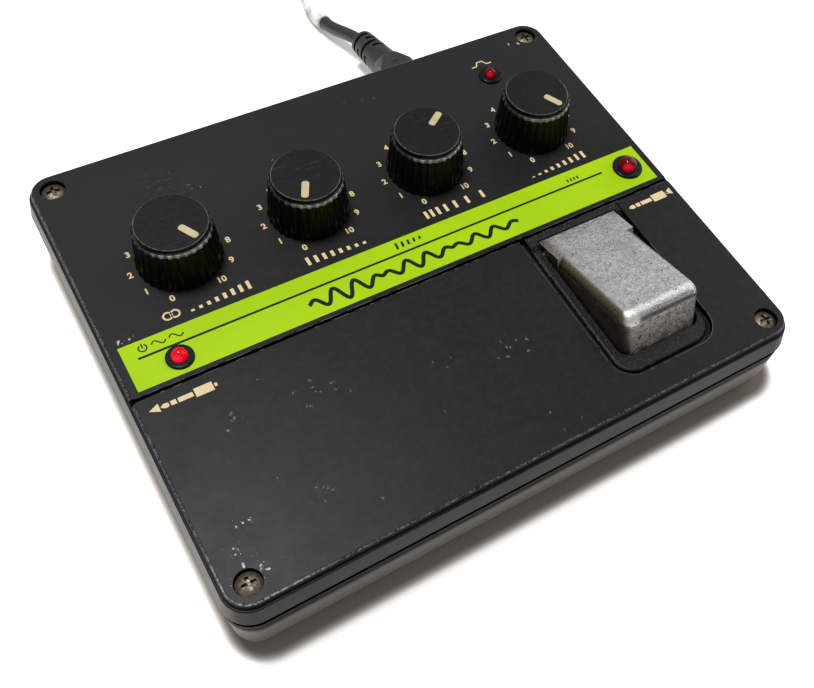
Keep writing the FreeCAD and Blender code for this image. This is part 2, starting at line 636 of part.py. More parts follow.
def build_treadle():
    """A hollow block cast at a slope, with a thin tab that carries its hinge."""
    part = body("treadle_body")
    crest = treadle_crest()
    shoulder = treadle_top("treadle_shoulder")
    wedge = sketch_on(part, "wedge_profile", role="YZ_Plane", offset=TREADLE_X)
    outline(wedge, [(treadle_front_at("treadle_skirt"), "treadle_skirt"),
                    (f"treadle_shoulder - {SLOPE} * ({shoulder} - treadle_skirt)", "treadle_skirt"),
                    ("treadle_shoulder", shoulder), (treadle_front_at(crest), crest)])
    block = pad(part, "wedge", wedge, TREADLE_WIDTH, midplane=True)
    corners = fillet(part, "front_corners", block, "treadle_corner", on_front_corner)
    fillet(part, "top_edges", corners, "treadle_round", on_treadle_rim)
    tab = sketch_on(part, "tab_profile", role="YZ_Plane", offset=TREADLE_X)
    under = f"{treadle_top('treadle_rear')} - treadle_wall"
    outline(tab, [("treadle_rear", treadle_top("treadle_rear")), ("treadle_rear", under),
                  (f"treadle_shoulder - {SLOPE} * ({shoulder} - ({under}))", under),
                  ("treadle_shoulder", shoulder)])
    pad(part, "tab", tab, f"{TREADLE_WIDTH} - 2 * tab_inset", midplane=True)
    inner = sketch_on(part, "hollow_profile", role="YZ_Plane", offset=TREADLE_X)
    ceiling = f"{crest} - crest_wall"
    outline(inner, [(f"{treadle_front_at('treadle_skirt')} + treadle_wall", "treadle_skirt"),
                    ("hollow_rear", "treadle_skirt"),
                    ("hollow_rear", f"{treadle_top('hollow_rear')} - treadle_wall"),
                    (f"{treadle_front_at(ceiling)} + treadle_wall + hollow_bevel", ceiling),
                    (f"{treadle_front_at(ceiling)} + treadle_wall", f"{ceiling} - hollow_bevel")])
    pocket(part, "hollow", inner, f"{TREADLE_WIDTH} - 2 * treadle_wall", midplane=True)
    knuckle = sketch_on(part, "knuckle_circle", role="YZ_Plane", offset=TREADLE_X)
    circles(knuckle, [("hinge_y", "hinge_z")], "knuckle")
    pad(part, "knuckle_pad", knuckle, f"{TREADLE_WIDTH} - 2 * knuckle_inset", midplane=True)
    treadle_post(part, "push_post", "switch_y", "push_z", "push_post")
    treadle_post(part, "spring_post", "spring_y", "spring_top", "spring_radius + 1")
    pin = sketch_on(part, "pin_circle", role="YZ_Plane", offset=TREADLE_X)
    circles(pin, [("hinge_y", "hinge_z")], "hinge_pin + running_gap")
    pocket(part, "pin_bore", pin, TREADLE_WIDTH, midplane=True)
    node("treadle", part)


def treadle_post(part, name, y, low, radius):
    """A post that hangs from the inside of the treadle's top."""
    circle = sketch_on(part, name + "_circle", offset=low)
    circles(circle, [(TREADLE_X, y)], radius)
    pad(part, name, circle, f"{treadle_top(y)} - {low} - post_sink")


def on_front_corner(edge, middle):
    """The two nearly upright edges at the treadle's front."""
    return middle.y < measure("treadle_front") + 5 and abs(edge.tangentAt(edge.FirstParameter).z) > 0.9


def on_treadle_rim(edge, middle):
    """The top edges at the treadle's front and sides, not the one at its shoulder."""
    on_top = abs(middle.z - measure(treadle_top(f"({middle.y})"))) < 0.05
    return on_top and middle.y < measure("treadle_shoulder") - 0.5


def build_treadle_mount():
    """The bezel ring round the treadle, its flange under the plate and its ears for the hinge pin."""
    part = body("treadle_bezel_body")
    top = "case_height - ring_drop"
    left, right = "well_left + ring_gap_left", "well_right - ring_gap_right"
    ring = sketch_on(part, "ring_outline", offset=PLATE_UNDER)
    rounded_rectangle(ring, left, right, "well_front + ring_gap_front", GROOVE_FRONT,
                      ["well_corner", "square_corner", "square_corner", "ring_corner"])
    raised = pad(part, "ring_pad", ring, f"({top}) - ({PLATE_UNDER})")
    fillet(part, "ring_rounding", raised, "ring_round",
           lambda edge, at: close(at.z, top) and at.y < measure(GROOVE_FRONT) - 1)
    bar = sketch_on(part, "rear_bar_profile", role="YZ_Plane", offset=f"(({left}) + ({right})) / 2")
    ridge = "treadle_rear - 0.8"
    outline(bar, [(GROOVE_FRONT, PLATE_UNDER), (GROOVE_FRONT, "case_height - ring_bar"),
                  (ridge, "case_height - ring_bar"), (f"{ridge} - ring_drop", top),
                  (f"{ridge} - ring_drop", PLATE_UNDER)])
    pad(part, "rear_bar", bar, f"({right}) - ({left})", midplane=True)
    flange = sketch_on(part, "flange_outline", offset=PLATE_UNDER)
    rounded_rectangle(flange, "well_left - flange_spread", "well_right + flange_spread",
                      "well_front - flange_spread", "groove_y + flange_spread", ["ring_corner"] * 4)
    pad(part, "flange_pad", flange, "flange_spread", reverse=True)
    ears = sketch_on(part, "ear_profile", role="YZ_Plane", offset=TREADLE_X)
    low = "hinge_z - knuckle - square_corner"
    outline(ears, [("hinge_y - ear_reach", low), ("hinge_y + ear_reach", low),
                   ("hinge_y + ear_reach", PLATE_UNDER), ("hinge_y - ear_reach", PLATE_UNDER)])
    pad(part, "ears_pad", ears, EAR_SPAN, midplane=True)
    treadle_space(part, "treadle_space", "case_height", "treadle_front - front_clearance")
    treadle_space(part, "skirt_space", PLATE_UNDER, "treadle_front - front_clearance - skirt_clearance")
    holes = sketch_on(part, "ear_hole_circle", role="YZ_Plane", offset=TREADLE_X)
    circles(holes, [("hinge_y", "hinge_z")], "hinge_pin")
    pocket(part, "ear_holes", holes, EAR_SPAN, midplane=True)
    node("treadle_bezel", part)
    pin_start = f"{TREADLE_X} - ({EAR_SPAN}) / 2"
    pin = rod("hinge_pin_rod", "hinge_pin", EAR_SPAN, pin_start, "hinge_y", "hinge_z", ALONG_X)
    node("treadle_hinge_pin", pin)


def treadle_space(part, name, top, front):
    """The treadle's opening in the bezel, from a height down through everything."""
    space = sketch_on(part, name + "_outline", offset=top)
    rounded_rectangle(space, "treadle_left - treadle_clearance", "treadle_right + treadle_clearance", front,
                      "treadle_rear + rear_clearance",
                      ["treadle_corner", "square_corner", "square_corner", "treadle_corner"])
    pocket(part, name, space, "case_height / 2")


def build_foot_switch():
    """A push switch held under the treadle by a folded bracket."""
    base = box("bracket_top", "bracket_width", "bracket_depth", "sheet", TREADLE_X, "bracket_y", "shelf")
    legs = []
    for side in (-1, 1):
        x = f"{TREADLE_X} + {side} * (bracket_width - sheet) / 2"
        legs.append(box(f"bracket_leg_{side + 2}", "sheet", "bracket_depth", f"shelf - ({FLOOR_TOP})", x,
                        "bracket_y", FLOOR_TOP))
    hole = rod("bracket_hole", "switch_neck + running_gap", "2 * sheet", TREADLE_X, "switch_y",
               "shelf - sheet / 2")
    node("switch_bracket", cut("switch_bracket_cut", fuse("bracket_blank", base, *legs), hole))
    case = box("switch_case", "switch_body", "switch_body", "switch_height", TREADLE_X, "switch_y",
               "shelf - switch_height")
    neck = rod("switch_neck_rod", "switch_neck", "switch_neck_height", TREADLE_X, "switch_y", "shelf")
    tag_length = "2.4"
    tags = [box(f"switch_tag_{side + 2}", "2", "0.5", tag_length, f"{TREADLE_X} + {side} * 3", "switch_y",
                f"shelf - switch_height - {tag_length}") for side in (-1, 1)]
    bore_floor = "shelf - 4.5"
    bore = rod("switch_bore", "switch_button + running_gap", "12", TREADLE_X, "switch_y", bore_floor)
    node("foot_switch", cut("foot_switch_cut", fuse("switch_blank", case, neck, *tags), bore))
    nut = hexagon("switch_nut_hexagon", "5.8", "2", TREADLE_X, "switch_y", "shelf + sheet")
    nut_bore = rod("nut_bore", "switch_neck", "4", TREADLE_X, "switch_y", "shelf + 1")
    node("switch_nut", cut("switch_nut_cut", nut, nut_bore))
    foot = "shelf - 0.8"
    length = f"push_z - button_gap - ({foot})"
    stem = rod("plunger_stem", "switch_button", length, TREADLE_X, "switch_y", foot)
    tip = rounded("plunger_tip", stem, 0.6, lambda edge, at: at.z > measure("push_z") - 1)
    node("switch_plunger", tip)


def hexagon(name, half_across, height, x, y, z):
    """A hexagonal prism standing on z, for a nut."""
    feature = doc.addObject("Part::Prism", name)
    feature.Polygon = 6
    bind(feature, Circumradius=half_across, Height=height)
    return put(feature, x, y, z)


# Wound forms and tubes


def arc_between(start, tangent, end):
    """The arc that leaves start along tangent and reaches end."""
    along = (end - start).normalize()
    cosine = min(1.0, tangent.dot(along))
    half_turn = math.acos(cosine)
    if half_turn < 1e-6:
        return Part.LineSegment(start, end).toShape()
    bulge = (tangent - along * cosine).normalize()
    rise = (end - start).Length / 2 * math.tan(half_turn / 2)
    return Part.Arc(start, (start + end) * 0.5 + bulge * rise, end).toShape()


def biarc(start, start_tangent, end, end_tangent):
    """Two arcs that join smoothly between two points with given tangents."""
    chord = end - start
    total = start_tangent + end_tangent
    bend = 2 * (1 - start_tangent.dot(end_tangent))
    along = chord.dot(total)
    if bend < 1e-9:
        reach = chord.dot(chord) / (2 * along)
    else:
        reach = (-along + math.sqrt(along ** 2 + bend * chord.dot(chord))) / bend
    joint = (start + start_tangent * reach + end - end_tangent * reach) * 0.5
    return [arc_between(start, start_tangent, joint), arc_between(end, end_tangent * -1, joint)]


def wound_edges(place, steps):
    """Biarcs through a winding's points, which a formula gives with their tangents."""
    stations = [place(step) for step in range(steps + 1)]
    edges = []
    for here, following in zip(stations, stations[1:]):
        edges += biarc(*here, *following)
    return edges


def laid_edges(points, name):
    """Straight runs joined by tangent arcs as large as their runs allow."""
    places = [Vector(*point) for point in points]
    edges, here, radii = [], places[0], []
    for before, corner, after in zip(places, places[1:], places[2:]):
        arriving, leaving = corner - before, after - corner
        trim = 0.45 * min(arriving.Length, leaving.Length)
        radii.append(trim / math.tan(arriving.getAngle(leaving) / 2))
        into = corner - Vector(arriving).normalize() * trim
        out = corner + Vector(leaving).normalize() * trim
        edges.append(Part.LineSegment(here, into).toShape())
        edges.append(arc_between(into, Vector(arriving).normalize(), out))
        here = out
    edges.append(Part.LineSegment(here, places[-1]).toShape())
    print(name, "bend radii", [round(radius, 1) for radius in radii])
    return edges


def tube_along(edges, radius):
    """A solid round tube on a chain of tangent edges that starts with its first edge."""
    first = edges[0]
    start, tangent = first.valueAt(first.FirstParameter), first.tangentAt(first.FirstParameter)
    circle = Part.Wire(Part.Circle(start, tangent, radius).toShape())
    return Part.Wire(edges).makePipeShell([circle], True, False)


def report_tube(name, solid, edges, radius):
    length = sum(edge.Length for edge in edges)
    ratio = solid.Volume / (math.pi * radius ** 2 * length)
    print(name, "length", round(length, 1), "volume over section times length", round(ratio, 4))


def least_gap(edges, radius, turn_length):
    """Smallest gap from one turn of a winding to another, on points along its middle."""
    points, runs, run = [], [], 0.0
    for edge in edges:
        count = max(2, int(edge.Length / 2.0))
        for point in edge.discretize(count)[:-1]:
            points.append(point)
            runs.append(run)
            run += edge.Length / (count - 1)
    return min(point.distanceToPoint(points[other]) for number, point in enumerate(points)
               for other in range(number + 1, len(points))
               if runs[other] - runs[number] > turn_length / 2) - 2 * radius


def own_shape(name, shape):
    """A piece whose form comes from code: its shape is set, then its placement."""
    feature = doc.addObject("Part::Feature", name + "_form")
    feature.Shape = shape
    feature.Placement = Placement()
    return node(name, feature)


def build_spring():
    """A wire spring between the switch bracket and the treadle's post."""
    radius, wire = size("spring_radius"), size("spring_wire")
    quarters = int(round(4 * size("spring_turns")))
    low = measure("shelf + sheet + spring_wire") + 0.05
    high = measure("spring_top - spring_wire") - 0.05
    rise = (high - low) / quarters
    centre = Vector(measure(TREADLE_X), size("spring_y"), low)

    def station(step):
        angle = step * math.pi / 2
        spoke = Vector(math.cos(angle), math.sin(angle), 0)
        along = Vector(-math.sin(angle), math.cos(angle), 0) * radius + Vector(0, 0, rise / (math.pi / 2))
        return centre + spoke * radius + Vector(0, 0, rise * step), along.normalize()

    edges = wound_edges(station, quarters)
    solid = tube_along(edges, wire)
    report_tube("spring", solid, edges, wire)
    print("spring least gap", round(least_gap(edges, wire, 2 * math.pi * radius), 2))
    own_shape("treadle_spring", solid)


# Mains cord: the lead from the connector, its coil, its tail and the plug

RELIEF_START = Vector(size("inlet_x"), size("connector_rear"), size("inlet_z"))
RELIEF_END = Vector(41.6, 116.4, 9.2)
LIE = size("lie")
LEAD = [tuple(RELIEF_END), (39.3, 124.2, 7.8), (36.6, 132.5, 4.9), (34.8, 143.5, LIE), (36.6, 154.5, LIE),
        (39.6, 165.4, LIE), (40.9, 176.5, LIE), (41.2, 184.6, LIE), (41.2, 192.0, LIE)]
COIL_ENTRY = Vector(41.2, 197.0, LIE)
TAIL_STEPS = [(0.0, -7.0), (-0.3, -16.0), (-0.3, -23.0)]
LABEL_FIRST_EDGE = 5
LABEL_LAST_EDGE = 11
PLUG_AXIS_Z = 7.0
PAPER_EASE = 0.03


def coil_outer():
    return size("coil_inner") + size("coil_pitch") * size("coil_layer_turns")


def build_coil():
    """Two layers of turns: in on the surface, up a layer where the spiral reverses, and out again."""
    diameter, pitch, turns = size("cord_diameter"), size("coil_pitch"), size("coil_layer_turns")
    centre = COIL_ENTRY + Vector(coil_outer(), 0, 0)
    quarters = int(round(8 * turns))

    def station(step):
        turn = step / 4
        radius = size("coil_inner") + pitch * abs(turn - turns)
        climbed = min(1.0, max(0.0, (turn - turns + 0.25) / 0.5))
        height = pitch * (1 - math.cos(math.pi * climbed)) / 2
        angle = math.pi - 2 * math.pi * turn
        spoke = Vector(math.cos(angle), math.sin(angle), 0)
        along = Vector(math.sin(angle), -math.cos(angle), 0) * (2 * math.pi * radius)
        if step not in (0, quarters / 2, quarters):
            along += spoke * (pitch if turn > turns else -pitch)
        if 0 < climbed < 1:
            along += Vector(0, 0, pitch * math.pi * math.sin(math.pi * climbed))
        return centre + spoke * radius + Vector(0, 0, height), along.normalize()

    edges = wound_edges(station, quarters)
    last = centre + Vector(coil_outer(), 0, pitch)
    before = Part.LineSegment(COIL_ENTRY - Vector(0, diameter, 0), COIL_ENTRY).toShape()
    after = Part.LineSegment(last, last - Vector(0, diameter, 0)).toShape()
    edges = [before] + edges + [after]
    solid = tube_along(edges, diameter / 2)
    report_tube("coil", solid, edges, diameter / 2)
    print("coil least gap", round(least_gap(edges, diameter / 2, 2 * math.pi * size("coil_inner")), 2))
    own_shape("cord_coil", solid)
    return last - Vector(0, diameter, 0)


def build_cord():
    """The lead with its paper label, the coil and the tail, each a node, and what is on them."""
    radius = size("cord_diameter") / 2
    lead = laid_edges(LEAD, "lead")
    solid = tube_along(lead, radius)
    report_tube("lead", solid, lead, radius)
    own_shape("power_cord", solid)
    wrapped = lead[LABEL_FIRST_EDGE - 1:LABEL_LAST_EDGE]
    paper = tube_along(wrapped, size("label_diameter") / 2)
    own_shape("cord_label", paper.cut(tube_along(lead, radius + PAPER_EASE)))
    start = build_coil()
    steps = [start + Vector(x, y, 0) for x, y in TAIL_STEPS]
    for point in steps[1:]:
        point.z = PLUG_AXIS_Z
    tail = laid_edges([start] + steps, "tail")
    solid = tube_along(tail, radius)
    report_tube("tail", solid, tail, radius)
    own_shape("cord_tail", solid)
    build_mains_plug(steps[-1])
    build_tie()
    build_connector()


def build_tie():
    """A flat strap closed round the coil's section on its far side."""
    middle = (size("coil_inner") + coil_outer()) / 2 - size("coil_pitch") / 4 + 0.5
    centre = COIL_ENTRY + Vector(coil_outer(), middle, 0)
    part = body("cord_tie_body")
    front = f"{centre.x} - tie_breadth / 2"
    low, high = f"{centre.y} - tie_width / 2", f"{centre.y} + tie_width / 2"
    band = sketch_on(part, "tie_outline", role="YZ_Plane", offset=front)
    rounded_rectangle(band, low, high, "0", "tie_height", ["3"] * 4)
    pad(part, "tie_pad", band, "tie_breadth")
    opening = sketch_on(part, "tie_opening", role="YZ_Plane", offset=front)
    rounded_rectangle(opening, f"{low} + tie_thickness", f"{high} - tie_thickness", "tie_thickness",
                      "tie_height - tie_thickness", ["3 - tie_thickness"] * 4)
    pocket(part, "tie_pocket", opening, "tie_breadth", reverse=True)
    node("cord_tie", part)


def build_connector():
    """The moulded connector behind the inlet: its nose, its shoulder and its slotted strain relief."""
    depth = "connector_rear - connector_face"
    block = box("connector_block", "connector_width", depth, "connector_height", "inlet_x",
                "(connector_face + connector_rear) / 2", "inlet_z - connector_height / 2")
    eased = rounded("connector_eased", block, 2.0, lambda edge, at: edge_runs(edge, "y"))
    shell = rounded("connector_shell", eased, 0.5, lambda edge, at: close(at.y, "connector_rear"))
    nose = box("connector_nose", "socket_width - 0.1", "socket_depth", "socket_height - 0.1", "inlet_x",
               "connector_face - socket_depth / 2", "inlet_z - socket_height / 2 + 0.05")
    sockets = [rod(f"contact_hole_{side}", "contact_radius + 0.1", "socket_depth - 1",
                   f"inlet_x + {side} * contact_offset", "connector_face - socket_depth", "inlet_z", ALONG_Y)
               for side in (-1, 1)]
    blank = fuse("connector_blank", shell, nose, connector_shoulder(), strain_relief())
    hollow = cut("connector_hollow", blank, *sockets, *relief_slots())
    node("cord_connector", cut("connector_on_cord", hollow, NODES["power_cord"]))


def connector_shoulder():
    """The corners of the block's rear face taper to the strain relief, as if turned."""
    turned = cone("shoulder_cone", "relief_base + 2.2", "relief_base - 0.4", "shoulder_length", "inlet_x",
                  "connector_rear", "inlet_z", ALONG_Y)
    squared = doc.addObject("Part::Common", "connector_shoulder")
    squared.Base = turned
    middle = "connector_rear + shoulder_length / 2"
    squared.Tool = box("shoulder_limit", "connector_width - 1", "shoulder_length", "connector_height - 1",
                       "inlet_x", middle, "inlet_z - connector_height / 2 + 0.5")
    return squared


def edge_runs(edge, axis):
    """Whether a straight edge runs mostly along one axis."""
    return abs(getattr(edge.tangentAt(edge.FirstParameter), axis)) > 0.7


def strain_relief():
    """A cone along the cord's first direction, rounded at its free end."""
    axis = RELIEF_END - RELIEF_START
    start = RELIEF_START - Vector(axis).normalize() * 0.5
    turn = Rotation(Vector(0, 0, 1), axis)
    relief = cone("relief_cone", "relief_base", "relief_tip", axis.Length + 0.5, *start, turn)
    return rounded("relief_soft", relief, 1.0, lambda edge, at: at.y > RELIEF_END.y - 3)


def relief_slots():
    """Rows of two slots each, every row turned by a quarter from the last."""
    axis = RELIEF_END - RELIEF_START
    turn = Rotation(Vector(0, 0, 1), axis)
    slots = []
    for row in range(4):
        reach = axis.Length - size("slot_pitch") * (row + 1) - size("slot_width") / 2
        quarter = Rotation(Vector(0, 0, 1), -40 + 90 * row)
        for side in (-1, 1):
            name = f"relief_slot_{row}_{'low' if side < 0 else 'high'}"
            slot = bind(doc.addObject("Part::Box", name), Length="16", Width="6", Height="slot_width")
            low = size("slot_core") if side > 0 else -size("slot_core") - 6
            corner = RELIEF_START + turn.multVec(quarter.multVec(Vector(-8, low, reach)))
            slot.Placement = Placement(corner, turn.multiply(quarter))
            slots.append(slot)
    return slots


def build_mains_plug(tip):
    """A two-blade plug lying beside the coil, its neck at the end of the cord."""
    x, y, z = tip
    shoulder, face = y - 9, y - 30
    neck = cone("plug_neck", "3.4", "5", "10", x, y, z, AGAINST_Y)
    block = box("plug_block", "20", shoulder - face, 2 * z, x, (shoulder + face) / 2, 0)
    shell = rounded("plug_shell", block, 3.0, lambda edge, at: edge_runs(edge, "y"))
    waist = rounded("plug_waist", shell, 2.0, lambda edge, at: at.y > shoulder - 0.5 and edge.Length > 3)
    node("mains_plug", fuse("mains_plug_shell", neck, waist))
    blades = []
    for side in (-1, 1):
        blade_x = x + side * 6.35
        blade = box(f"blade_{side + 2}", "1.5", "15", "6.3", blade_x, face - 7.5, z - 3.15)
        hole = rod(f"blade_hole_{side + 2}", "1.6", "4", blade_x - 2, face - 11, z, ALONG_X)
        blades.append(cut(f"plug_blade_{side + 2}", blade, hole))
    node("mains_plug_blades", group("blade_set", *blades))


# Dials: name, pointer's angle round from +X as it stands in the rest position

DIALS = [("mix_dial", -61), ("repeat_dial", -117), ("delay_dial", 36), ("level_dial", -62)]


def build_dial(name, angle, x):
    """A fluted skirted knob with a raised disc, its inlaid pointer, and the control below it."""
    foot = Vector(measure(x), size("knob_y"), measure(DIAL_BASE))
    stand = Placement(foot, Rotation(Vector(0, 0, 1), angle))
    part = body(name + "_body")
    dial_revolution(part, name)
    part.Tip = dial_flutes(part, name)
    slot = sketch_on(part, name + "_slot_outline", offset="knob_height")
    pointer_outline(slot)
    pocket(part, name + "_slot", slot, "pointer_depth")
    bar = body(name + "_pointer_body")
    bar_sketch = sketch_on(bar, name + "_bar_outline", offset="knob_height - pointer_depth")
    pointer_outline(bar_sketch)
    pad(bar, name + "_bar", bar_sketch, "pointer_depth + pointer_proud")
    for piece, label in ((part, name), (bar, name + "_pointer")):
        piece.Placement = stand
        bind(piece, Placement__Base__x=x, Placement__Base__y="knob_y", Placement__Base__z=DIAL_BASE)
        node(label, piece)
    shaft_foot = f"{DIAL_BASE} + hub_depth - shaft_length"
    node(name + "_shaft", rod(name + "_shaft_rod", "shaft_radius", "shaft_length", x, "knob_y", shaft_foot))
    build_control(name, x)


def dial_revolution(part, name):
    """The knob's turned form: disc, groove, shoulder, leaning side and hollow skirt."""
    profile = sketch_on(part, name + "_profile", role="XZ_Plane")
    groove_floor = "knob_shoulder_height - knob_groove_depth"
    outline(profile, [("0", "knob_height"), ("knob_disc - knob_bevel", "knob_height"),
                      ("knob_disc", "knob_height - knob_bevel"), ("knob_disc", groove_floor),
                      ("knob_disc + knob_groove", groove_floor),
                      ("knob_disc + knob_groove", "knob_shoulder_height"),
                      ("knob_shoulder - knob_ease / 3", "knob_shoulder_height - knob_ease / 4"),
                      ("knob_shoulder", "knob_shoulder_height - knob_ease"), ("knob_base", "0"),
                      ("knob_base - skirt_wall", "0"), ("knob_shoulder - skirt_wall + 0.5", "skirt_ceiling"),
                      ("hub_radius", "skirt_ceiling"), ("hub_radius", "hub_start"),
                      ("shaft_radius", "hub_start"), ("shaft_radius", "hub_depth"), ("0", "hub_depth")])
    turned = part.newObject("PartDesign::Revolution", name + "_turned")
    turned.Profile = profile
    turned.ReferenceAxis = (origin_plane(part, "Z_Axis"), [""])
    turned.Angle = 360


def dial_flutes(part, name):
    """Hollows down the knob's side, leaning with it."""
    flute = part.newObject("PartDesign::SubtractiveCylinder", name + "_flute")
    lean = measure("atan((knob_base - knob_shoulder) / knob_shoulder_height)")
    offset = "knob_base + flute_radius - flute_depth"
    bind(flute, Radius="flute_radius", Height="knob_shoulder_height + 2 * flute_radius")
    flute.AttachmentOffset = Placement(Vector(measure(offset), 0, 0), Rotation(Vector(0, 1, 0), -lean))
    flute.Placement = flute.AttachmentOffset
    bind(flute, Placement__Base__x=offset)
    flutes = part.newObject("PartDesign::PolarPattern", name + "_flutes")
    flutes.Originals = [flute]
    flutes.Axis = (origin_plane(part, "Z_Axis"), [""])
    flutes.Angle = 360
    bind(flutes, Occurrences="knob_flutes")
    return flutes


def pointer_outline(sketch):
    rounded_rectangle(sketch, "pointer_start", "pointer_end", "-pointer_width / 2", "pointer_width / 2",
                      ["pointer_round"] * 4)


def build_control(name, x):
    """The rotary control under the plate: can, threaded bushing and three tags."""
    can_foot = f"{PLATE_UNDER} - control_radius"
    can = rod(name + "_can", "control_radius", "control_radius", x, "knob_y", can_foot)
    neck = rod(name + "_neck", "shaft_radius + bushing_wall", "bushing_height", x, "knob_y", PLATE_UNDER)
    tags = [box(f"{name}_tag_{place + 2}", "1.6", "5", "0.8", f"{x} + {place} * 4",
                "knob_y - control_radius - 1", f"{can_foot} + 0.5") for place in (-1, 0, 1)]
    bore = rod(name + "_bore", "shaft_radius + running_gap", "case_height", x, "knob_y", f"{DIAL_BASE} - 9")
    node(name + "_control", cut(name + "_control_cut", fuse(name + "_blank", can, neck, *tags), bore))


def build_dials():
    nuts = []
    for number, ((name, angle), x) in enumerate(zip(DIALS, DIAL_X), start=1):
        build_dial(name, angle, x)
        nut = hexagon(f"dial_hexagon_{number}", "dial_nut", "dial_nut_height", x, "knob_y", "case_height")
        bore = rod(f"dial_nut_bore_{number}", "shaft_radius + bushing_wall", "2 * dial_nut_height", x,
                   "knob_y", "case_height - dial_nut_height / 2")
        nuts.append(cut(f"dial_nut_{number}", nut, bore))
    node("dial_nuts", group("dial_nut_set", *nuts))


def build_lamps():
    """Each indicator is a domed lens in a round bezel pushed into the top plate."""
    for name, x, y, dome, bezel in LAMPS:
        flange = rod(name + "_flange", bezel, "lamp_rim", x, y, "case_height")
        eased = rounded(name + "_flange_eased", flange, 0.5,
                        lambda edge, at: at.z > size("case_height") + 0.5)
        sleeve = rod(name + "_sleeve", f"{dome} + lamp_wall", "plate + 2", x, y, f"{PLATE_UNDER} - 2")
        bore = rod(name + "_bezel_bore", dome, "plate + 10", x, y, f"{PLATE_UNDER} - 5")
        node(name + "_bezel", cut(name + "_bezel_cut", fuse(name + "_bezel_blank", eased, sleeve), bore))
        stem = rod(name + "_stem", dome, "plate + 4 + lamp_lift", x, y, f"{PLATE_UNDER} - 4")
        ball = bind(doc.addObject("Part::Sphere", name + "_ball"), Radius=dome)
        put(ball, x, y, "case_height + lamp_lift")
        node(name, fuse(name + "_lens", stem, ball))


def build_board():
    """The main board on four posts, held by a screw in each."""
    posts, screws, holes = [], [], []
    shank = "1.2"
    for number, (x, y) in enumerate(BOARD_CORNERS, start=1):
        blank = rod(f"post_blank_{number}", "2.8", "board_lift", x, y, FLOOR_TOP)
        bore = rod(f"post_bore_{number}", shank, "board_lift + 2", x, y, FLOOR_TOP)
        posts.append(cut(f"post_{number}", blank, bore))
        head = rod(f"board_head_{number}", "2.6", shank, x, y, BOARD_TOP)
        thread = rod(f"board_shank_{number}", shank, "5", x, y, f"{BOARD_TOP} - 4.8")
        screws.append(fuse(f"board_screw_{number}", head, thread))
        holes.append(rod(f"board_hole_{number}", f"{shank} + 0.1", "4", x, y, f"{BOARD_TOP} - 2.6"))
    node("board_posts", group("post_set", *posts))
    node("board_screws", group("board_screw_set", *screws))
    plate = box("board_plate_box", "board_width", "board_depth", "board_plate", "board_x", "board_y",
                f"{FLOOR_TOP} + board_lift")
    node("main_board", cut("main_board_cut", plate, *holes))


def build_electronics():
    """What stands on the main board, and the mains transformer beside it."""
    build_board()
    for name, count, (width, depth, height), x, pitch, y in (
            ("delay_line_chips", 3, ("10", "24", "3.6"), "board_x - 22", 17, "board_y - 8"),
            ("amplifier_chips", 4, ("8", "10", "3.4"), "board_x - 26", 15, "board_y + 20"),
            ("trimmers", 3, ("6.5", "6.5", "5"), "board_x - 26", 12, "board_y - 29")):
        row = [box(f"{name}_{place + 1}", width, depth, height, f"{x} + {pitch * place}", y, BOARD_TOP)
               for place in range(count)]
        node(name, group(name + "_set", *row))
    cans = [rod(f"capacitor_{place + 1}", "3.1", "9", "board_x + 30", f"board_y - 24 + {9 * place}",
                BOARD_TOP) for place in range(5)]
    node("electrolytic_capacitors", group("capacitor_set", *cans))
    build_transformer()


def build_transformer():
    """A laminated core with two windows, and the winding on its middle limb."""
    core = box("core_block", "36", "12", "22", "core_x", "core_y", FLOOR_TOP)
    windows = [box(f"core_window_{side + 2}", "7", "14", "14", f"core_x + {side} * 8.5", "core_y",
                   f"{FLOOR_TOP} + 4") for side in (-1, 1)]
    node("transformer_core", cut("transformer_core_cut", core, *windows))
    winding = box("winding_block", "23", "22", "13.4", "core_x", "core_y", f"{FLOOR_TOP} + 4.3")
    soft = rounded("winding_soft", winding, 3.0, lambda edge, at: edge_runs(edge, "z"))
    limb = box("core_limb", "10.2", "12.2", "30", "core_x", "core_y", FLOOR_TOP)
    node("transformer_winding", cut("transformer_winding_cut", soft, limb))


def build_jacks():
    """Two quarter-inch jacks whose noses end flush in the side walls."""
    for name, side, turn in (("output_jack", -1, AGAINST_X), ("input_jack", 1, ALONG_X)):
        middle = f"{side} * ({JACK_MOUTH} - jack_nose_length - jack_body / 2)"
        shell = box(name + "_shell", "jack_body", "jack_width", "jack_height", middle, "jack_y",
                    "jack_z - jack_height / 2")
        nose = rod(name + "_nose", "jack_nose - 0.1", "jack_nose_length",
                   f"{side} * ({JACK_MOUTH} - jack_nose_length)", "jack_y", "jack_z", turn)
        rear_middle = f"{side} * ({JACK_MOUTH} - jack_nose_length - jack_body - 2.5)"
        rear = box(name + "_rear", "5", "11", "10", rear_middle, "jack_y", "jack_z - 5")
        bore = rod(name + "_bore", "jack_bore", "jack_depth", f"{side} * ({JACK_MOUTH} - jack_depth)",
                   "jack_y", "jack_z", turn)
        node(name, cut(name + "_cut", fuse(name + "_blank", shell, nose, rear), bore))


